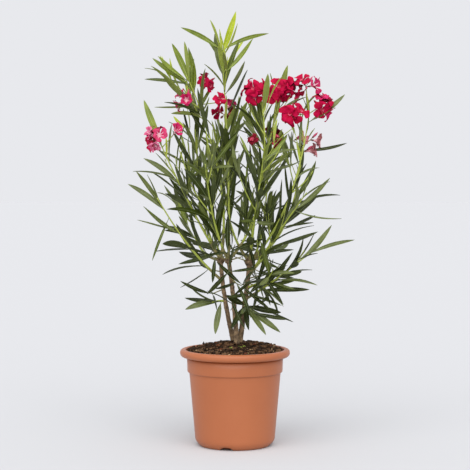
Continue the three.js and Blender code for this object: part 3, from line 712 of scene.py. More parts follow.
def colour(red, green, blue):
    """A colour that is seen on a screen as red, green and blue from 0 to 255, as the shader takes it."""
    def linear(value):
        value /= 255
        return value / 12.92 if value <= 0.04045 else ((value + 0.055) / 1.055) ** 2.4
    return linear(red), linear(green), linear(blue), 1.0


def material(name, low, high, roughness, scale, bump=0.0, grain=0.0, detail=4.0, specular=0.5):
    """A surface mottled between two colours by a noise, with uneven roughness and a fine relief."""
    made = bpy.data.materials.new(name)
    made.use_nodes = True
    nodes, links = made.node_tree.nodes, made.node_tree.links
    shader = nodes["Principled BSDF"]
    shader.inputs["Specular IOR Level"].default_value = specular
    place = nodes.new("ShaderNodeTexCoord").outputs["Object"]

    def add(kind, **values):
        node = nodes.new("ShaderNode" + kind)
        for socket, value in values.items():
            node.inputs[socket.replace("_", " ")].default_value = value
        return node

    def noise(size):
        made_noise = add("TexNoise", Scale=size, Detail=detail)
        links.new(place, made_noise.inputs["Vector"])
        return made_noise.outputs["Fac"]

    mottle, ramp = noise(scale), add("ValToRGB")
    for stop, position, tone in zip(ramp.color_ramp.elements, MOTTLE["stops"], (low, high)):
        stop.position, stop.color = position, tone
    links.new(mottle, ramp.inputs["Fac"])
    links.new(ramp.outputs["Color"], shader.inputs["Base Color"])
    spread = add("MapRange", To_Min=roughness - MOTTLE["uneven"], To_Max=roughness + MOTTLE["uneven"])
    links.new(mottle, spread.inputs["Value"])
    links.new(spread.outputs["Result"], shader.inputs["Roughness"])
    if bump:
        relief = add("Bump", Strength=bump, Distance=MOTTLE["relief"])
        links.new(noise(grain), relief.inputs["Height"])
        links.new(relief.outputs["Normal"], shader.inputs["Normal"])
    return made


def add_object(name, data):
    obj = bpy.data.objects.new(name, data)
    bpy.context.scene.collection.objects.link(obj)
    return obj


class Piece:
    """Gathers the parts of one kind, in millimetres, and is then made one object, in metres."""

    def __init__(self, name, slot):
        self.name, self.slot = name, slot
        self.points, self.faces, self.count = [], [], 0

    def add(self, points, faces):
        points = np.asarray(points, float).reshape(-1, 3)
        self.points.append(points)
        self.faces.extend([tuple(i + self.count for i in face) for face in faces])
        self.count += len(points)

    def add_grid(self, grid, closed=False, ends=()):
        """Quads of a grid of points. A closed grid joins its last column to its first, and may have ends."""
        rows, columns = grid.shape[:2]
        faces = list(ends)
        for r in range(rows - 1):
            for c in range(columns if closed else columns - 1):
                d = (c + 1) % columns
                faces.append((r * columns + c, r * columns + d, (r + 1) * columns + d, (r + 1) * columns + c))
        self.add(grid, faces)

    def make(self, finish, nodes=(), colours=None, **changes):
        """The object, with its material, in place of the nodes that it stands for."""
        mesh = bpy.data.meshes.new(self.name)
        mesh.from_pydata((np.vstack(self.points) * MM).tolist(), [], self.faces)
        mesh.polygons.foreach_set("use_smooth", [True] * len(mesh.polygons))
        low, high = (colour(*tone) for tone in colours or COLOURS[finish])
        mesh.materials.append(material(self.name + "_skin", low, high, **{**FINISH[finish], **changes}))
        mesh.update()
        obj = add_object(self.name, mesh)
        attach(obj, "root")
        if nodes:
            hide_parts(*nodes)


def tube(piece, spine, radii, sides, relief=None):
    """A limb along a spine, closed at both ends. The relief gives extra radius by distance and turn."""
    turns = np.arange(sides) / sides * FULL_TURN
    rings = []
    keys = ("points", "side", "across", "reach")
    for place, side, across, reach, radius in zip(*(spine[key] for key in keys), radii):
        around = np.outer(np.cos(turns), side) + np.outer(np.sin(turns), across)
        extra = relief(reach, turns) if relief else np.zeros(sides)
        rings.append(place + around * (radius + extra)[:, None])
    last = (len(rings) - 1) * sides
    piece.add_grid(np.array(rings), True, [tuple(range(sides))[::-1], tuple(range(last, last + sides))])


# Leaves: an upper sheet folded along the midrib, an underside that meets its edges, and the midrib itself.
LEAF_SHARES = np.array([0, 0.04, 0.1, 0.2, 0.33, 0.47, 0.6, 0.73, 0.85, 0.94, 1])
LEAF_WIDTHS = np.array([0.1, 0.1, 0.28, 0.6, 0.87, 0.99, 1, 0.9, 0.65, 0.35, 0.03])
LEAF_FORM = {
    "wider": (0.72, 1.12), "fold": 0.32, "thickness": 0.45, "midrib": 1.05, "bend": 0.1, "twist": 0.7,
    "arch": 0.09, "roll": 0.8, "roll_within": 6, "far_roll": 0.5, "far_wider": (1.02, 0.46),
    "outer_narrower": 0.62, "outer": (100, 170), "full_above": 912, "low": 340, "low_wider": 0.95,
    "rib_above": 0.75, "rib_below": 1.5, "rib_keel": 0.4, "rib_taper": (1.15, 0.1, 1),
}
# The colours of each kind of leaf, from the youngest to the oldest and in two greyer tones, and its gloss.
# The deep and dim kinds are partly painted shade: darker than old leaves, they stand for the shade inside the
# crown.
LEAF_COLOURS = {
    "leaves": {
        "young": ((150, 164, 26), (184, 196, 48)), "fresh": ((95, 110, 27), (122, 136, 40)),
        "mature": ((59, 71, 11), (85, 97, 23)), "deep": ((30, 38, 5), (51, 61, 11)),
        "dusty": ((76, 85, 38), (106, 115, 62)), "dim": ((36, 43, 15), (58, 65, 29)),
    },
    "leaf_undersides": {
        "young": ((146, 160, 66), (170, 182, 84)), "fresh": ((114, 126, 56), (136, 146, 72)),
        "mature": ((84, 95, 38), (108, 117, 56)), "deep": ((52, 62, 20), (76, 86, 34)),
        "dusty": ((94, 103, 60), (118, 126, 82)), "dim": ((56, 65, 33), (80, 88, 50)),
    },
    "leaf_midribs": {
        "young": ((176, 190, 92), (196, 206, 120)), "fresh": ((142, 156, 84), (164, 174, 104)),
        "mature": ((112, 124, 70), (134, 144, 90)), "deep": ((84, 96, 56), (108, 118, 74)),
        "dusty": ((122, 132, 88), (144, 152, 108)), "dim": ((86, 97, 64), (110, 119, 82)),
    },
}
LEAF_SHINE = {"young": 0.36, "fresh": 0.34, "mature": 0.28, "deep": 0.12, "dusty": 0.28, "dim": 0.12}
# How a leaf's look follows from its age and place: it is older lower down, give or take a swing.
# Inside the crown it takes darker kinds as painted shade, and on the outside lighter ones as painted light.
LEAF_AGE_AND_SHADE = {
    "swing": 0.26, "middle": 0.74, "top": 945, "lower_is_older": 1.6, "seen_at": 0.6,
    "kinds": ("young", "fresh", "mature", "deep"), "limits": (0.09, 0.43, 0.84),
    "inner": 0.5, "outer": -0.08, "inner_radius": 150, "inner_below": 800, "inner_fade": 200,
    "far": (-0.12, 1.0), "oldest_far": 0.56, "oldest_low": 0.92, "far_swing": 0.16,
}
# Sprays with older or younger leaves than the rest.
SPRAY_AGE = {
    "centre_flower": 0.22, "right_mid": 0.22, "right_low": 0.2, "right_faded": 0.18, "right_head": 0.1,
    "right_behind": 0.1, "left_low": -0.12, "left_behind": -0.08,
}
# The greyer kinds, and the share of leaves that take them, which grows below a height and on the outside.
GREYED = {
    "kinds": {"fresh": "dusty", "mature": "dusty", "deep": "dim"}, "share": (0.06, 0.85),
    "below": 600, "fade": 200,
}
# The share of leaves left out beyond a radius and below a height, and the greater share on the far left.
THINNED = {"beyond": 118, "below": 680, "share": 0.46, "left": -95, "left_share": 0.62}
# How far in front of a blossom, and how near to its axis, a leaf would hide it.
FACE = {"near": 2, "far": 90, "aside": 15}


def flatness(leaf):
    """From 0 for a leaf that stands straight up to 1 for one that lies level or hangs."""
    return 1 - max(0.0, leaf["along"][2])


def leaf_width(leaf, random):
    """Leaves are narrower on the outside. Of those that reach furthest, the upright ones are broadest."""
    x, y, z = leaf["root"]
    if leaf["far"]:
        upper = lerp(*LEAF_FORM["far_wider"], flatness(leaf))
        return leaf["width"] * (upper if z > LEAF_FORM["low"] else LEAF_FORM["low_wider"])
    width = leaf["width"] * lerp(*LEAF_FORM["wider"], random.draw())
    near, away = LEAF_FORM["outer"]
    outward = clamp((math.hypot(x, y) - near) / (away - near))
    return width * (1 if z > LEAF_FORM["full_above"] else lerp(1, LEAF_FORM["outer_narrower"], outward))


def leaf_frame(leaf, random):
    """The middle line of a leaf and its own sideways and upward directions along it.

    Chance rolls it round its length, bends and arches it a little and twists it towards its tip. The leaves
    that reach furthest hold their faces towards the front and the light.
    """
    bend, arch, twist, roll = (random.swing(LEAF_FORM[name]) for name in ("bend", "arch", "twist", "roll"))
    if leaf["far"]:
        bend = 0
        roll = random.swing(LEAF_FORM["far_roll"]) - math.atan2(FRONT @ leaf["side"], FRONT @ leaf["normal"])
    shares = LEAF_SHARES[:, None]
    middle = leaf_points(leaf, LEAF_SHARES) + bend * leaf["length"] * shares**2 * leaf["side"]
    middle += arch * leaf["length"] * 4 * shares * (1 - shares) * leaf["normal"]
    angle = roll * np.minimum(1, shares * LEAF_FORM["roll_within"]) + twist * shares
    side = leaf["side"] * np.cos(angle) + leaf["normal"] * np.sin(angle)
    up = leaf["normal"] * np.cos(angle) - leaf["side"] * np.sin(angle)
    return middle, side, up


def add_leaf(leaf, random, upper, under, midrib):
    """A leaf's upper sheet, its underside, and its midrib as a narrow strip on either face."""
    middle, side, up = leaf_frame(leaf, random)
    half = (leaf_width(leaf, random) / 2 * LEAF_WIDTHS)[:, None]
    start, least, most = LEAF_FORM["rib_taper"]
    rib = (LEAF_FORM["midrib"] / 2 * np.clip(start - LEAF_SHARES, least, most))[:, None]
    fold, thick = up * LEAF_FORM["fold"], up * LEAF_FORM["thickness"]
    left, right = middle + half * (fold - side), middle + half * (fold + side)
    upper.add_grid(np.stack([left, middle + thick / 2, right], axis=1))
    under.add_grid(np.stack([right, middle - thick, left], axis=1))
    slant, slope = rib * (fold - side), rib * (fold + side)
    face, back = middle + thick * LEAF_FORM["rib_above"], middle - thick * LEAF_FORM["rib_below"]
    keel = back - up * rib * LEAF_FORM["rib_keel"]
    midrib.add_grid(np.stack([face + slant, face, face + slope], axis=1))
    midrib.add_grid(np.stack([back + slope + thick, keel, back + slant + thick], axis=1))


def leaf_kind(leaf, spray, random, greying):
    """Leaves are brightest at the tips and darkest low down. Many are greyer, low down and on the outside."""
    older = SPRAY_AGE.get(spray, 0)
    root_height = leaf["root"][2]
    lower = LEAF_AGE_AND_SHADE["middle"] - root_height / LEAF_AGE_AND_SHADE["top"]
    age = leaf["age"] + lower * LEAF_AGE_AND_SHADE["lower_is_older"] + older
    x, y, z = leaf_points(leaf, [LEAF_AGE_AND_SHADE["seen_at"]])[0]
    outward = clamp(math.hypot(x, y) / LEAF_AGE_AND_SHADE["inner_radius"])
    below = clamp((LEAF_AGE_AND_SHADE["inner_below"] - z) / LEAF_AGE_AND_SHADE["inner_fade"])
    # Painted shade and light: leaves inside the crown take darker kinds, and those on the outside lighter
    # ones.
    age += lerp(LEAF_AGE_AND_SHADE["inner"], LEAF_AGE_AND_SHADE["outer"], outward) * below
    if leaf["far"]:
        oldest = LEAF_AGE_AND_SHADE["oldest_far" if root_height > LEAF_FORM["low"] else "oldest_low"]
        age = min(age + lerp(*LEAF_AGE_AND_SHADE["far"], flatness(leaf)), oldest + older)
    age += random.swing(LEAF_AGE_AND_SHADE["far_swing" if leaf["far"] else "swing"])
    kind = LEAF_AGE_AND_SHADE["kinds"][int(np.searchsorted(LEAF_AGE_AND_SHADE["limits"], age))]
    lowness = clamp((GREYED["below"] - z) / GREYED["fade"])
    share = lerp(*GREYED["share"], max(lowness, outward**2 * below))
    return GREYED["kinds"].get(kind, kind) if greying.draw() < share else kind


def is_thinned(leaf, random):
    """Some leaves are left out low down on the outside, where the crown is open."""
    x, y, z = leaf["root"]
    outside = math.hypot(x, y) > THINNED["beyond"] and z < THINNED["below"] and not leaf["far"]
    return outside and random.draw() < THINNED["left_share" if x < THINNED["left"] else "share"]


def hides_blossom(leaf, ends, outwards, sizes):
    """True for a whorled leaf that lies across the face of a blossom."""
    offsets = leaf_points(leaf, LEAF["blade"])[:, None] - ends
    ahead = (offsets * outwards).sum(2)
    aside = np.linalg.norm(offsets - ahead[..., None] * outwards, axis=2)
    across = (ahead > FACE["near"]) & (ahead < FACE["far"]) & (aside < FACE["aside"] * sizes)
    return bool(across.any()) and not leaf["far"]


def make_foliage():
    masses = space.masses
    kinds = [(side, kind) for side, colours in LEAF_COLOURS.items() for kind in colours]
    pieces = {(side, kind): Piece(side + "_" + kind, "foliage") for side, kind in kinds}
    blossoms = [(b["end"], b["outward"], mass.blossom_size) for mass in masses for b in mass.blossoms]
    faces = [np.array(column) for column in zip(*blossoms)]
    thinning, greying = Stream(SEEDS["thinned"]), Stream(SEEDS["greyed"])
    for mass in masses:
        random = Stream(SEEDS["leaves"] + mass.index)
        for leaf in mass.leaves:
            if is_thinned(leaf, thinning) or hides_blossom(leaf, *faces):
                continue
            kind = leaf_kind(leaf, mass.name, random, greying)
            add_leaf(leaf, random, *(pieces[side, kind] for side in LEAF_COLOURS))
    for side, kind in kinds:
        shine = {"specular": LEAF_SHINE[kind]} if side == "leaves" else {}
        pieces[side, kind].make(side, [mass.node for mass in masses], LEAF_COLOURS[side][kind], **shine)


def shoot_radii(spine, start, end):
    """Radii along a shoot, with a slight swelling at each whorl."""
    reach = spine["reach"]
    swell = np.maximum(0, np.cos(reach / SHOOT_TUBE["swell_spacing"] * FULL_TURN)) ** SHOOT_TUBE["swell_edge"]
    return lerp(start, end, reach / reach[-1]) * (1 + SHOOT_TUBE["swelling"] * swell)


def make_shoots():
    pieces = {"shoots": Piece("shoots", "foliage"), "boughs": Piece("boughs", "green_bark")}
    for mass in space.masses:
        middle = lerp(SHOOT["radius"], SHOOT["tip_radius"], mass.bare)
        if mass.bare:
            bough = spine_of(mass.curve, BOUGH_TUBE["step"], 0, mass.bare)
            relief = bark_relief(mass.random.draw() * BOUGH_TUBE["phase"], BOUGH_TUBE["relief"])
            radii = shoot_radii(bough, SHOOT["radius"] * BOUGH_TUBE["foot"], middle)
            tube(pieces["boughs"], bough, radii, BOUGH_TUBE["sides"], relief)
        shoot = spine_of(mass.curve, TUBE_STEP, mass.bare, 1)
        tube(pieces["shoots"], shoot, shoot_radii(shoot, middle, SHOOT["tip_radius"]), SHOOT_TUBE["sides"])
        for kind, (name, foot, tip, sides) in TUBES.items():
            for curve in mass.limbs[kind]:
                spine = spine_of(curve, TUBE_STEP)
                tube(pieces[name], spine, shoot_radii(spine, foot, tip), sides)
    pieces["shoots"].make("shoots", [mass.node for mass in space.masses])
    pieces["boughs"].make("boughs", ["bough_" + mass.name for mass in space.masses if mass.bare])


# Blossoms: a funnel on a stalk that opens into five petals, with a pale fringe in its throat.
PETAL = {
    "inner": 2.6, "length": 19, "width": 20.5, "widths": (0.22, 0.44, 0.7, 0.92, 1.0, 0.92, 0.55),
    "columns": 7, "rise": (1.5, 11), "rise_turn": 2.1, "curl": 5, "cup": 0.16, "overlap": 1.4,
    "pinwheel": 0.2, "swing": 0.6, "wave": 1.2, "waves": 4, "size_swing": 0.16, "turn_swing": 0.24,
    "round": 2.4, "lean": (0.0, 0.3), "lean_pale": (0.3, 0.75),
}
BLUSH = {"width": 0.3, "rows": 4, "lift": 0.4, "tip": 0.15}
FLOWER = {
    "sizes": {"left_flower": 0.8, "left_tall": 0.74, "left_cluster": 0.7, "right_front": 0.62},
    "stalk": 6, "stalk_radii": (1.1, 0.8), "nod": 0.8, "throat": 17, "petals": 5,
    "pale": ("rose", "pink", "blush", "faded"), "sides": 10,
    "funnel": [(1.3, 6), (1.5, 9), (2.2, 13), (3.3, 16.5), (4.4, 18.2), (3.4, 17.9), (1.6, 17.2), (0.1, 17)],
}
FRINGE = {"rows": [(2.4, 17.0), (3.6, 19.0), (4.8, 21.4)], "sides": 15, "teeth": (-0.9, 1.0)}
CALYX = {"sepals": 5, "foot": (1.0, 1.1, -1), "middle": (2.2, 0.8, 2.5), "tip": (2.0, 0, 6)}
STALK = {"foot": 2, "sunk": 1, "sides": 6}
BUD_FORM = {
    "foot": 11, "belly": 2.7, "sides": 7, "twist": 0.5, "stalk_radii": (1.0, 0.7), "pink": ("pink", "faded"),
    "rows": [(0.36, 0), (0.7, 0.2), (1, 0.42), (0.82, 0.66), (0.42, 0.86), (0.06, 1)],
}
# The dark petals are painted shade: a deeper crimson for blossoms that lie in shade.
PETAL_COLOURS = {
    "crimson": ((156, 0, 38), (188, 3, 66)), "rose": ((166, 13, 64), (198, 46, 102)),
    "pink": ((176, 32, 76), (200, 72, 112)), "blush": ((192, 72, 112), (216, 126, 156)),
    "faded": ((176, 94, 102), (202, 142, 144)), "dark": ((86, 1, 17), (118, 6, 31)),
}
FLOWER_COLOURS = {
    "buds_pink": ((186, 40, 84), (214, 90, 124)), "buds_dark": ((128, 12, 34), (176, 20, 52)),
    "funnels_pale": ((214, 128, 140), (240, 196, 198)), "funnels_red": ((156, 26, 54), (190, 66, 84)),
    "blushes": ((222, 142, 164), (236, 196, 206)), "fringes_pale": ((240, 200, 210), (250, 228, 232)),
    "fringes_red": ((190, 40, 78), (214, 96, 120)), "calyxes": ((104, 50, 38), (140, 84, 54)),
    "stalks": ((136, 96, 60), (168, 140, 82)),
}


def standing(base, outward):
    """A function that stands points made along +Z on a base, along the direction that they face."""
    side = unit(np.cross(outward, UP if abs(outward[2]) < STEEP else FIRST_SIDE))
    axes = np.array([side, np.cross(outward, side), outward])
    return lambda points: base + points @ axes


def nodding(flower, random):
    """As standing, but bent at the end of the stalk, so that blossoms of one head face different ways."""
    base, outward = flower["base"], flower["outward"]
    turn, nod = random.draw() * FULL_TURN, random.draw() * FLOWER["nod"]
    side, across, _ = standing(np.zeros(3), outward)(np.eye(3))
    facing = outward * math.cos(nod) + (side * math.cos(turn) + across * math.sin(turn)) * math.sin(nod)
    stand = standing(base + outward * FLOWER["stalk"], facing)
    return lambda points: stand(points - UP * FLOWER["stalk"])


def turned(points, turn):
    cos, sin = math.cos(turn), math.sin(turn)
    return points @ np.array([[cos, sin, 0], [-sin, cos, 0], [0, 0, 1]])


def lathe_rings(profile, sides):
    turns = np.arange(sides) / sides * FULL_TURN
    return np.array([[(r * math.cos(t), r * math.sin(t), z) for t in turns] for r, z in profile])


def petal_grid(random, lean):
    """One petal, as a grid of points from the throat outward along +X, tilted up by its lean."""
    shares, sides = np.linspace(0, 1, len(PETAL["widths"])), np.linspace(-1, 1, PETAL["columns"])
    widths = np.array(PETAL["widths"]) * PETAL["width"] / 2
    curl = PETAL["curl"] * (1 + random.swing(PETAL["swing"]))
    rise, phase = lerp(*PETAL["rise"], random.draw()), random.draw() * FULL_TURN
    out = PETAL["length"] * (1 + random.swing(PETAL["size_swing"])) * shares
    beyond = out[:, None] - PETAL["round"] * np.outer(shares**2, sides**2)
    y = np.outer(widths, sides) + (PETAL["pinwheel"] * (PETAL["inner"] + out) * shares)[:, None]
    z = (FLOWER["throat"] + rise * np.sin(shares * PETAL["rise_turn"]) - curl * shares**3)[:, None]
    z = z + PETAL["cup"] * np.outer(widths, sides**2) + np.outer(shares, sides) * PETAL["overlap"]
    z += PETAL["wave"] * np.outer(shares**2, np.sin(sides * PETAL["waves"] + phase)) + beyond * math.sin(lean)
    return np.stack([PETAL["inner"] + beyond * math.cos(lean), y, z], axis=2)


def add_blossom(flower, size, random, pieces):
    """Five petals round a throat, with its funnel and fringe, on a calyx and a stalk."""
    stand = nodding(flower, random)
    start = random.draw() * FULL_TURN
    pale = flower["kind"] in FLOWER["pale"]
    lean = lerp(*PETAL["lean_pale" if pale else "lean"], random.draw())
    throat = UP * FLOWER["throat"]
    for i in range(FLOWER["petals"]):
        turn = start + i / FLOWER["petals"] * FULL_TURN + random.swing(PETAL["turn_swing"])
        grid = throat + (turned(petal_grid(random, lean), turn) - throat) * size
        pieces["petals_" + flower["kind"]].add_grid(stand(grid))
        if pale:
            pieces["blushes"].add_grid(stand(blush_grid(grid)))
    tone = "pale" if pale else "red"
    pieces["funnels_" + tone].add_grid(stand(lathe_rings(FLOWER["funnel"], FLOWER["sides"])), True)
    pieces["fringes_" + tone].add_grid(stand(fringe_grid(start)), True)
    add_calyx(stand, FLOWER["stalk"], pieces["calyxes"])
    upright = standing(flower["base"], flower["outward"])
    add_stalk(upright, FLOWER["stalk_radii"], FLOWER["stalk"], pieces["stalks"])


def blush_grid(grid):
    """The pale streak down the middle of a petal, a little above it."""
    petal = grid[: BLUSH["rows"]]
    centre = petal[:, PETAL["columns"] // 2]
    narrowing = np.linspace(1, BLUSH["tip"], BLUSH["rows"])[:, None] * BLUSH["width"]
    left, right = (centre + (petal[:, column] - centre) * narrowing for column in (0, -1))
    return np.stack([left, centre, right], axis=1) + UP * BLUSH["lift"]


def fringe_grid(start):
    """The toothed crown in the throat: a short ring of points."""
    grid = turned(lathe_rings(FRINGE["rows"], FRINGE["sides"]), start)
    grid[-1, :, 2] += np.resize(FRINGE["teeth"], FRINGE["sides"])
    return grid


def add_calyx(stand, height, piece):
    """Five narrow sepals that clasp the foot of a blossom or bud."""
    foot, middle = CALYX["foot"], CALYX["middle"]
    rows = [(out, way * half, up) for out, half, up in (foot, middle) for way in (-1, 1)]
    sepal = np.array([*rows, CALYX["tip"]], float) + height * UP
    for i in range(CALYX["sepals"]):
        piece.add(stand(turned(sepal, i / CALYX["sepals"] * FULL_TURN)), [(0, 1, 3, 2), (2, 3, 4)])


def add_stalk(stand, radii, length, piece):
    """A stalk with a wider foot, sunk a little into what it carries."""
    profile = [(radii[0], 0), (radii[1], STALK["foot"]), (radii[1], length + STALK["sunk"])]
    piece.add_grid(stand(lathe_rings(profile, STALK["sides"])), True)


def add_bud(bud, random, pieces):
    """A pointed bud on its stalk."""
    stand = standing(bud["base"], bud["outward"])
    twist = random.swing(BUD_FORM["twist"])
    radii, shares = np.array(BUD_FORM["rows"]).T
    heights = lerp(BUD_FORM["foot"], BUD["length"], shares)
    rings = lathe_rings(zip(radii * BUD_FORM["belly"], heights), BUD_FORM["sides"])
    rings = np.array([turned(ring, twist * share) for ring, share in zip(rings, shares)])
    pieces["buds_pink" if bud["kind"] in BUD_FORM["pink"] else "buds_dark"].add_grid(stand(rings), True)
    add_calyx(stand, BUD_FORM["foot"], pieces["calyxes"])
    add_stalk(stand, BUD_FORM["stalk_radii"], BUD_FORM["foot"], pieces["stalks"])


def make_flowers():
    petals = {"petals_" + kind: colours for kind, colours in PETAL_COLOURS.items()}
    pieces = {name: Piece(name, "petal") for name in [*petals, *FLOWER_COLOURS]}
    random = Stream(SEEDS["flowers"])
    for mass in space.masses:
        for flower in mass.blossoms:
            add_blossom(flower, mass.blossom_size, random, pieces)
        for bud in mass.buds:
            add_bud(bud, random, pieces)
    nodes = [mass.node for mass in space.masses if mass.blossoms]
    for finish, table in (("petals", petals), ("flower_parts", FLOWER_COLOURS)):
        for name, colours in table.items():
            pieces[name].make(finish, nodes, colours)


# Bark: ridges that wander and cross, low scars at uneven steps, and lumps on the pruned knobs.
BARK = {
    "ridges": 5, "wander": (0.8, 0.09), "fade": 0.31, "share": 0.6, "crossing": (3, 0.17),
    "scars": 0.23, "drift": (2, 0.041), "scar_edge": 20,
}
KNOB = {
    "rows": 20, "columns": 28, "size": 0.96, "swell": 0.16, "swell_waves": (5, 4, 3), "bump": 0.06,
    "bump_waves": (13, 11), "ring": 0.05, "ring_waves": 17,
}


def bark_relief(phase, depth):
    """Ridges that wander along a limb, and low rings, at uneven steps, where leaves have fallen."""
    def wave(name, distance):
        size, rate = BARK[name]
        return size * math.sin(distance * rate + phase)

    def relief(distance, turns):
        fade = math.cos(distance * BARK["fade"] + phase * 2)
        ridges = np.sin(turns * BARK["ridges"] + phase + wave("wander", distance)) * fade
        crossings, slant = BARK["crossing"]
        crossing = np.cos(turns * crossings - distance * slant)
        scar = max(0.0, math.cos(distance * BARK["scars"] + wave("drift", distance))) ** BARK["scar_edge"]
        return depth * (lerp(crossing, ridges, BARK["share"]) + scar * (1 + np.sin(turns + phase)))

    return relief


def make_stems():
    piece = Piece("stems", "bark")
    for index, stem in enumerate(STEMS.values()):
        spine = spine_of(stem_curve(stem), STEM_TUBE["step"])
        # The first direction across is level, as the foot is cut flat on the soil.
        spine["side"][0] = unit(spine["side"][0] * [1, 1, 0])
        reach = spine["reach"]
        flare = 1 + STEM["flare"] * np.exp(-reach / STEM["flare_length"])
        radii = stem["radius"] * lerp(1, STEM["taper"], reach / reach[-1]) * flare
        relief = bark_relief(index * STEM_TUBE["phase"], STEM_TUBE["relief"])
        tube(piece, spine, radii, STEM_TUBE["sides"], relief)
        add_knob(piece, stem, index)
    piece.make("stems", ["stem_" + name for name in STEMS])


def add_knob(piece, stem, index):
    """The swollen head of a pruned stem, with lumps where shoots were cut."""
    tilts = np.linspace(0, math.pi, KNOB["rows"] + 1)[:, None]
    turns = np.arange(KNOB["columns"]) / KNOB["columns"] * FULL_TURN
    out = np.sin(tilts)
    x, y, z = np.broadcast_arrays(out * np.cos(turns), out * np.sin(turns), np.cos(tilts))
    a, b, c = KNOB["swell_waves"]
    lumps = KNOB["swell"] * np.sin(x * a + stem["radius"]) * np.cos(y * b - z * c)
    a, b = KNOB["bump_waves"]
    lumps += KNOB["bump"] * np.sin(x * a + index) * np.sin(y * b)
    lumps += KNOB["ring"] * np.cos(z * KNOB["ring_waves"] + turns)
    radii = stem["knob_radius"] * (KNOB["size"] + lumps)
    piece.add_grid(stem["knob"] + np.stack([x, y, z], axis=2) * radii[..., None], True)


# The pot, turned from its profile. Each roll of the rim has a radius, a first and last turn, and its points.
# A corner is eased by small steps out and up from it.
ROLLS = {"under": (8, -75, 0, 10), "over": (7, 0, 80, 8), "lip": (3, 100, 180, 5)}
EASES = {
    "foot": [(-1.5, 0), (0, 0.6)], "base": [(-0.8, -1.2)], "step": [(-0.2, -0.9), (0.7, -0.1)],
    "ledge": [(-1.1, 0.5), (-0.3, 1.2), (0, 2.4)], "groove": [(1, -4), (-0.5, -3), (-4, -2), (-4, 1)],
    "roll": [(0, 0.4)], "mouth": [(-0.4, -6)], "inside": [(0, -8)],
}
# Shares of the flat base and of the slope round it, the wall's ends and count of rings, and the band's bulge.
PROFILE = {"flat": (0, 0.4, 0.8), "chamfer": [(0.3, 0.24), (0.65, 0.55)], "wall": (2, -1.5, 24), "bulge": 0.5}


def rolled(name, x, z, out, up):
    """Points of a profile round a roll, whose middle lies out and up from the corner at x and z."""
    radius, start, end, count = ROLLS[name]
    turns = np.radians(np.linspace(start, end, count))
    return [(x + radius * (out + math.cos(t)), z + radius * (up + math.sin(t))) for t in turns]


def eased(name, x, z):
    """Points of a profile that ease a corner."""
    return [(x + out, z + up) for out, up in EASES[name]]


def pot_profile():
    """The pot's outline from the middle of its base, up the outside, over the rim and down to the soil."""
    foot, base, step, band, rim = (POT[name] for name in ("foot", "base", "step", "band", "rim"))
    chamfer, ledge, top = POT["chamfer"], POT["step_height"], POT["height"]
    neck, inner = top - POT["rim_height"], rim - POT["lip"]
    above, below, count = PROFILE["wall"]
    heights = np.linspace(chamfer + above, ledge + below, count)
    flat = [(foot * share, 0) for share in PROFILE["flat"]]
    slope = [(lerp(foot, base, out), chamfer * up) for out, up in PROFILE["chamfer"]]
    wall = [(lerp(base, step, (z - chamfer) / (ledge - chamfer)), z) for z in heights]
    bulge = (band + PROFILE["bulge"], (ledge + neck) / 2)
    return [
        *flat, *eased("foot", foot, 0), *slope, *eased("base", base, chamfer), *wall,
        *eased("step", step, ledge), *eased("ledge", band, ledge), bulge, *eased("groove", band, neck),
        *eased("roll", rim - ROLLS["under"][0], neck), *rolled("under", rim, neck, -1, 1),
        *rolled("over", rim, top, -1, -1), *rolled("lip", inner, top, 1, -1),
        *eased("mouth", inner, top), *eased("inside", inner - POT["wall"], SOIL["edge"]),
    ]


def make_pot():
    grid = lathe_rings(pot_profile(), POT["sides"])
    cut_notches(grid)
    piece = Piece("pot_shell", "pot_plastic")
    piece.add_grid(grid, True)
    piece.make("plastic", ["pot"])


def cut_notches(grid):
    """Lifts the foot's edge into a low arch at each drainage notch."""
    turns = np.degrees(np.arctan2(grid[..., 1], grid[..., 0]))
    radii = np.hypot(grid[..., 0], grid[..., 1])
    edge = (radii > POT["foot"] - NOTCH["depth"]) & (radii < POT["base"] + 1)
    for i in range(NOTCH["count"]):
        off = (turns - NOTCH["bearing"] - i * 360 / NOTCH["count"] + 180) % 360 - 180
        across = np.abs(np.radians(off)) * POT["foot"] / (NOTCH["width"] / 2)
        arch = np.sqrt(np.clip(1 - across**2, 0, 1)) * NOTCH["height"]
        grid[..., 2] = np.where(edge, np.maximum(grid[..., 2], arch), grid[..., 2])


# The soil: its surface rises to a collar at the stems and a heap at the back, and chips of bark lie in it.
GROUND = {
    "raised": 4, "collar": 4, "collar_radius": 44, "middle": (2, 18), "rings": 46, "sides": 150,
    "sink": 1.5, "rough": 1.1, "smoothing": 1.7, "calm_rings": 6, "heap": 7, "heap_from": (-100, 10),
    "heap_over": (60, 70),
}
CHIPS = {
    "bark_chips_dark": {"colours": ((30, 19, 10), (60, 40, 25)), "count": 520, "size": (4, 13)},
    "bark_chips_brown": {"colours": ((70, 48, 31), (118, 88, 62)), "count": 330, "size": (4, 12)},
    "bark_chips_red": {"colours": ((82, 45, 28), (112, 66, 44)), "count": 30, "size": (4, 10)},
    "bark_chips_pale": {"colours": ((142, 114, 80), (194, 164, 128)), "count": 44, "size": (3, 9)},
    "moss_bits": {"colours": ((120, 128, 50), (168, 176, 88)), "count": 9, "size": (5, 11)},
}
CHIP = {"lift": (0.5, 4.5), "width": (0.45, 0.9), "height": (0.25, 0.6), "corners": (0.55, 1.15), "tilt": 0.7}


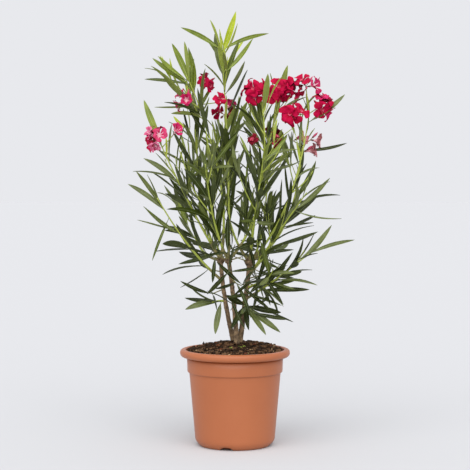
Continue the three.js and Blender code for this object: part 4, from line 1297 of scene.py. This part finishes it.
def soil_point(radius, turn, lift=0.0):
    """A point on the soil's surface, or a lift above it."""
    x, y = radius * math.cos(turn), radius * math.sin(turn)
    away = math.hypot(x - GROUND["middle"][0], y - GROUND["middle"][1])
    slope = clamp((away - SOIL["crown_radius"]) / (soil_edge() - SOIL["crown_radius"]))
    rise = GROUND["raised"] * slope + GROUND["collar"] * clamp(1 - away / GROUND["collar_radius"]) ** 0.5
    (left, near), (width, depth) = GROUND["heap_from"], GROUND["heap_over"]
    rise += GROUND["heap"] * slope * clamp((x - left) / width) * clamp((y - near) / depth)
    surface = lerp(SOIL["crown"], SOIL["edge"], math.sin(slope * math.pi / 2)) - GROUND["sink"]
    return point(x, y, surface + rise + lift)


def soil_edge():
    return POT["rim"] - POT["lip"] - POT["wall"] - CLEARANCE


def make_soil():
    """The soil's surface, broken up by a noise, with bark chips lying in it."""
    rings, sides = GROUND["rings"], GROUND["sides"]
    rng = np.random.default_rng(SEEDS["soil"])
    rough = rng.normal(0, 1, (rings + 1, sides))
    rough = (rough + np.roll(rough, 1, 1) + np.roll(rough, -1, 1)) / GROUND["smoothing"] * GROUND["rough"]
    rough *= np.minimum(1, np.arange(rings + 1) / GROUND["calm_rings"])[:, None]
    grid = [
        [soil_point(soil_edge() * r / rings, c / sides * FULL_TURN, rough[r, c]) for c in range(sides)]
        for r in range(rings + 1)
    ]
    ground = Piece("soil_surface", "potting_bark")
    ground.add_grid(np.array(grid), True)
    ground.make("peat", ["soil"])
    for name, kind in CHIPS.items():
        chips = Piece(name, "potting_bark")
        for _ in range(kind["count"]):
            size = rng.uniform(*kind["size"])
            radius, turn = (soil_edge() - size / 2) * math.sqrt(rng.random()), rng.random() * FULL_TURN
            add_chip(chips, soil_point(radius, turn, rng.uniform(*CHIP["lift"])), size, rng)
        chips.make("chips", (), kind["colours"])


def add_chip(piece, place, size, rng):
    """A bark chip: a flattened box with uneven corners, lying at any angle."""
    corners = np.array([(x, y, z) for z in (-1, 1) for y in (-1, 1) for x in (-1, 1)], float)
    corners *= size / 2 * point(1, rng.uniform(*CHIP["width"]), rng.uniform(*CHIP["height"]))
    corners *= rng.uniform(*CHIP["corners"], (8, 1))
    turn, tilt = rng.random() * FULL_TURN, rng.normal(0, CHIP["tilt"])
    lean = np.array([[1, 0, 0], [0, math.cos(tilt), math.sin(tilt)], [0, -math.sin(tilt), math.cos(tilt)]])
    faces = [(0, 2, 3, 1), (4, 5, 7, 6), (0, 1, 5, 4), (1, 3, 7, 5), (3, 2, 6, 7), (2, 0, 4, 6)]
    piece.add(place + turned(corners @ lean, turn), faces)


# The stage: a pale floor, an even pale sky and soft suns.
SKY = (232, 233, 237)
FLOOR = {"half": 40, "tone": 0.571, "tint": (1, 1.004, 1.022)}
SUNS = {
    "key": {"strength": 2.7, "bearing": -97, "climb": 42, "softness": 80},
    "fill": {"strength": 0.2, "bearing": -35, "climb": 35, "softness": 50},
}


def make_camera():
    data = bpy.data.cameras.new("camera")
    data.sensor_width = CAMERA["sensor"]
    data.lens = CAMERA["sensor"] * CAMERA["distance"] / CAMERA["frame_width"]
    camera = add_object("camera", data)
    camera.location = (0, -CAMERA["distance"], CAMERA["height"])
    camera.rotation_euler = (math.radians(90 - CAMERA["tilt"]), 0, 0)
    bpy.context.scene.camera = camera


def make_sun(name, strength, bearing, climb, softness):
    data = bpy.data.lights.new(name, "SUN")
    data.energy = strength
    data.angle = math.radians(softness)
    sun = add_object(name, data)
    sun.rotation_euler = (math.radians(90 - climb), 0, math.radians(bearing + 90))


def make_stage():
    world = bpy.data.worlds.new("studio")
    world.use_nodes = True
    world.node_tree.nodes["Background"].inputs["Color"].default_value = colour(*SKY)
    bpy.context.scene.world = world
    mesh = bpy.data.meshes.new("floor")
    corners = [(x * FLOOR["half"], y * FLOOR["half"], 0) for x, y in ((-1, -1), (1, -1), (1, 1), (-1, 1))]
    mesh.from_pydata(corners, [], [(0, 1, 2, 3)])
    pale = (*(FLOOR["tone"] * tint for tint in FLOOR["tint"]), 1)
    mesh.materials.append(material("floor_paint", pale, pale, **FINISH["floor"]))
    add_object("floor", mesh)
    for name, sun in SUNS.items():
        make_sun(name, **sun)
    bpy.context.scene.view_settings.view_transform = "Standard"


def main():
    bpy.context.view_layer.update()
    make_camera()
    grow_plant()
    make_foliage()
    make_shoots()
    make_flowers()
    make_stems()
    make_pot()
    make_soil()
    make_stage()


main()
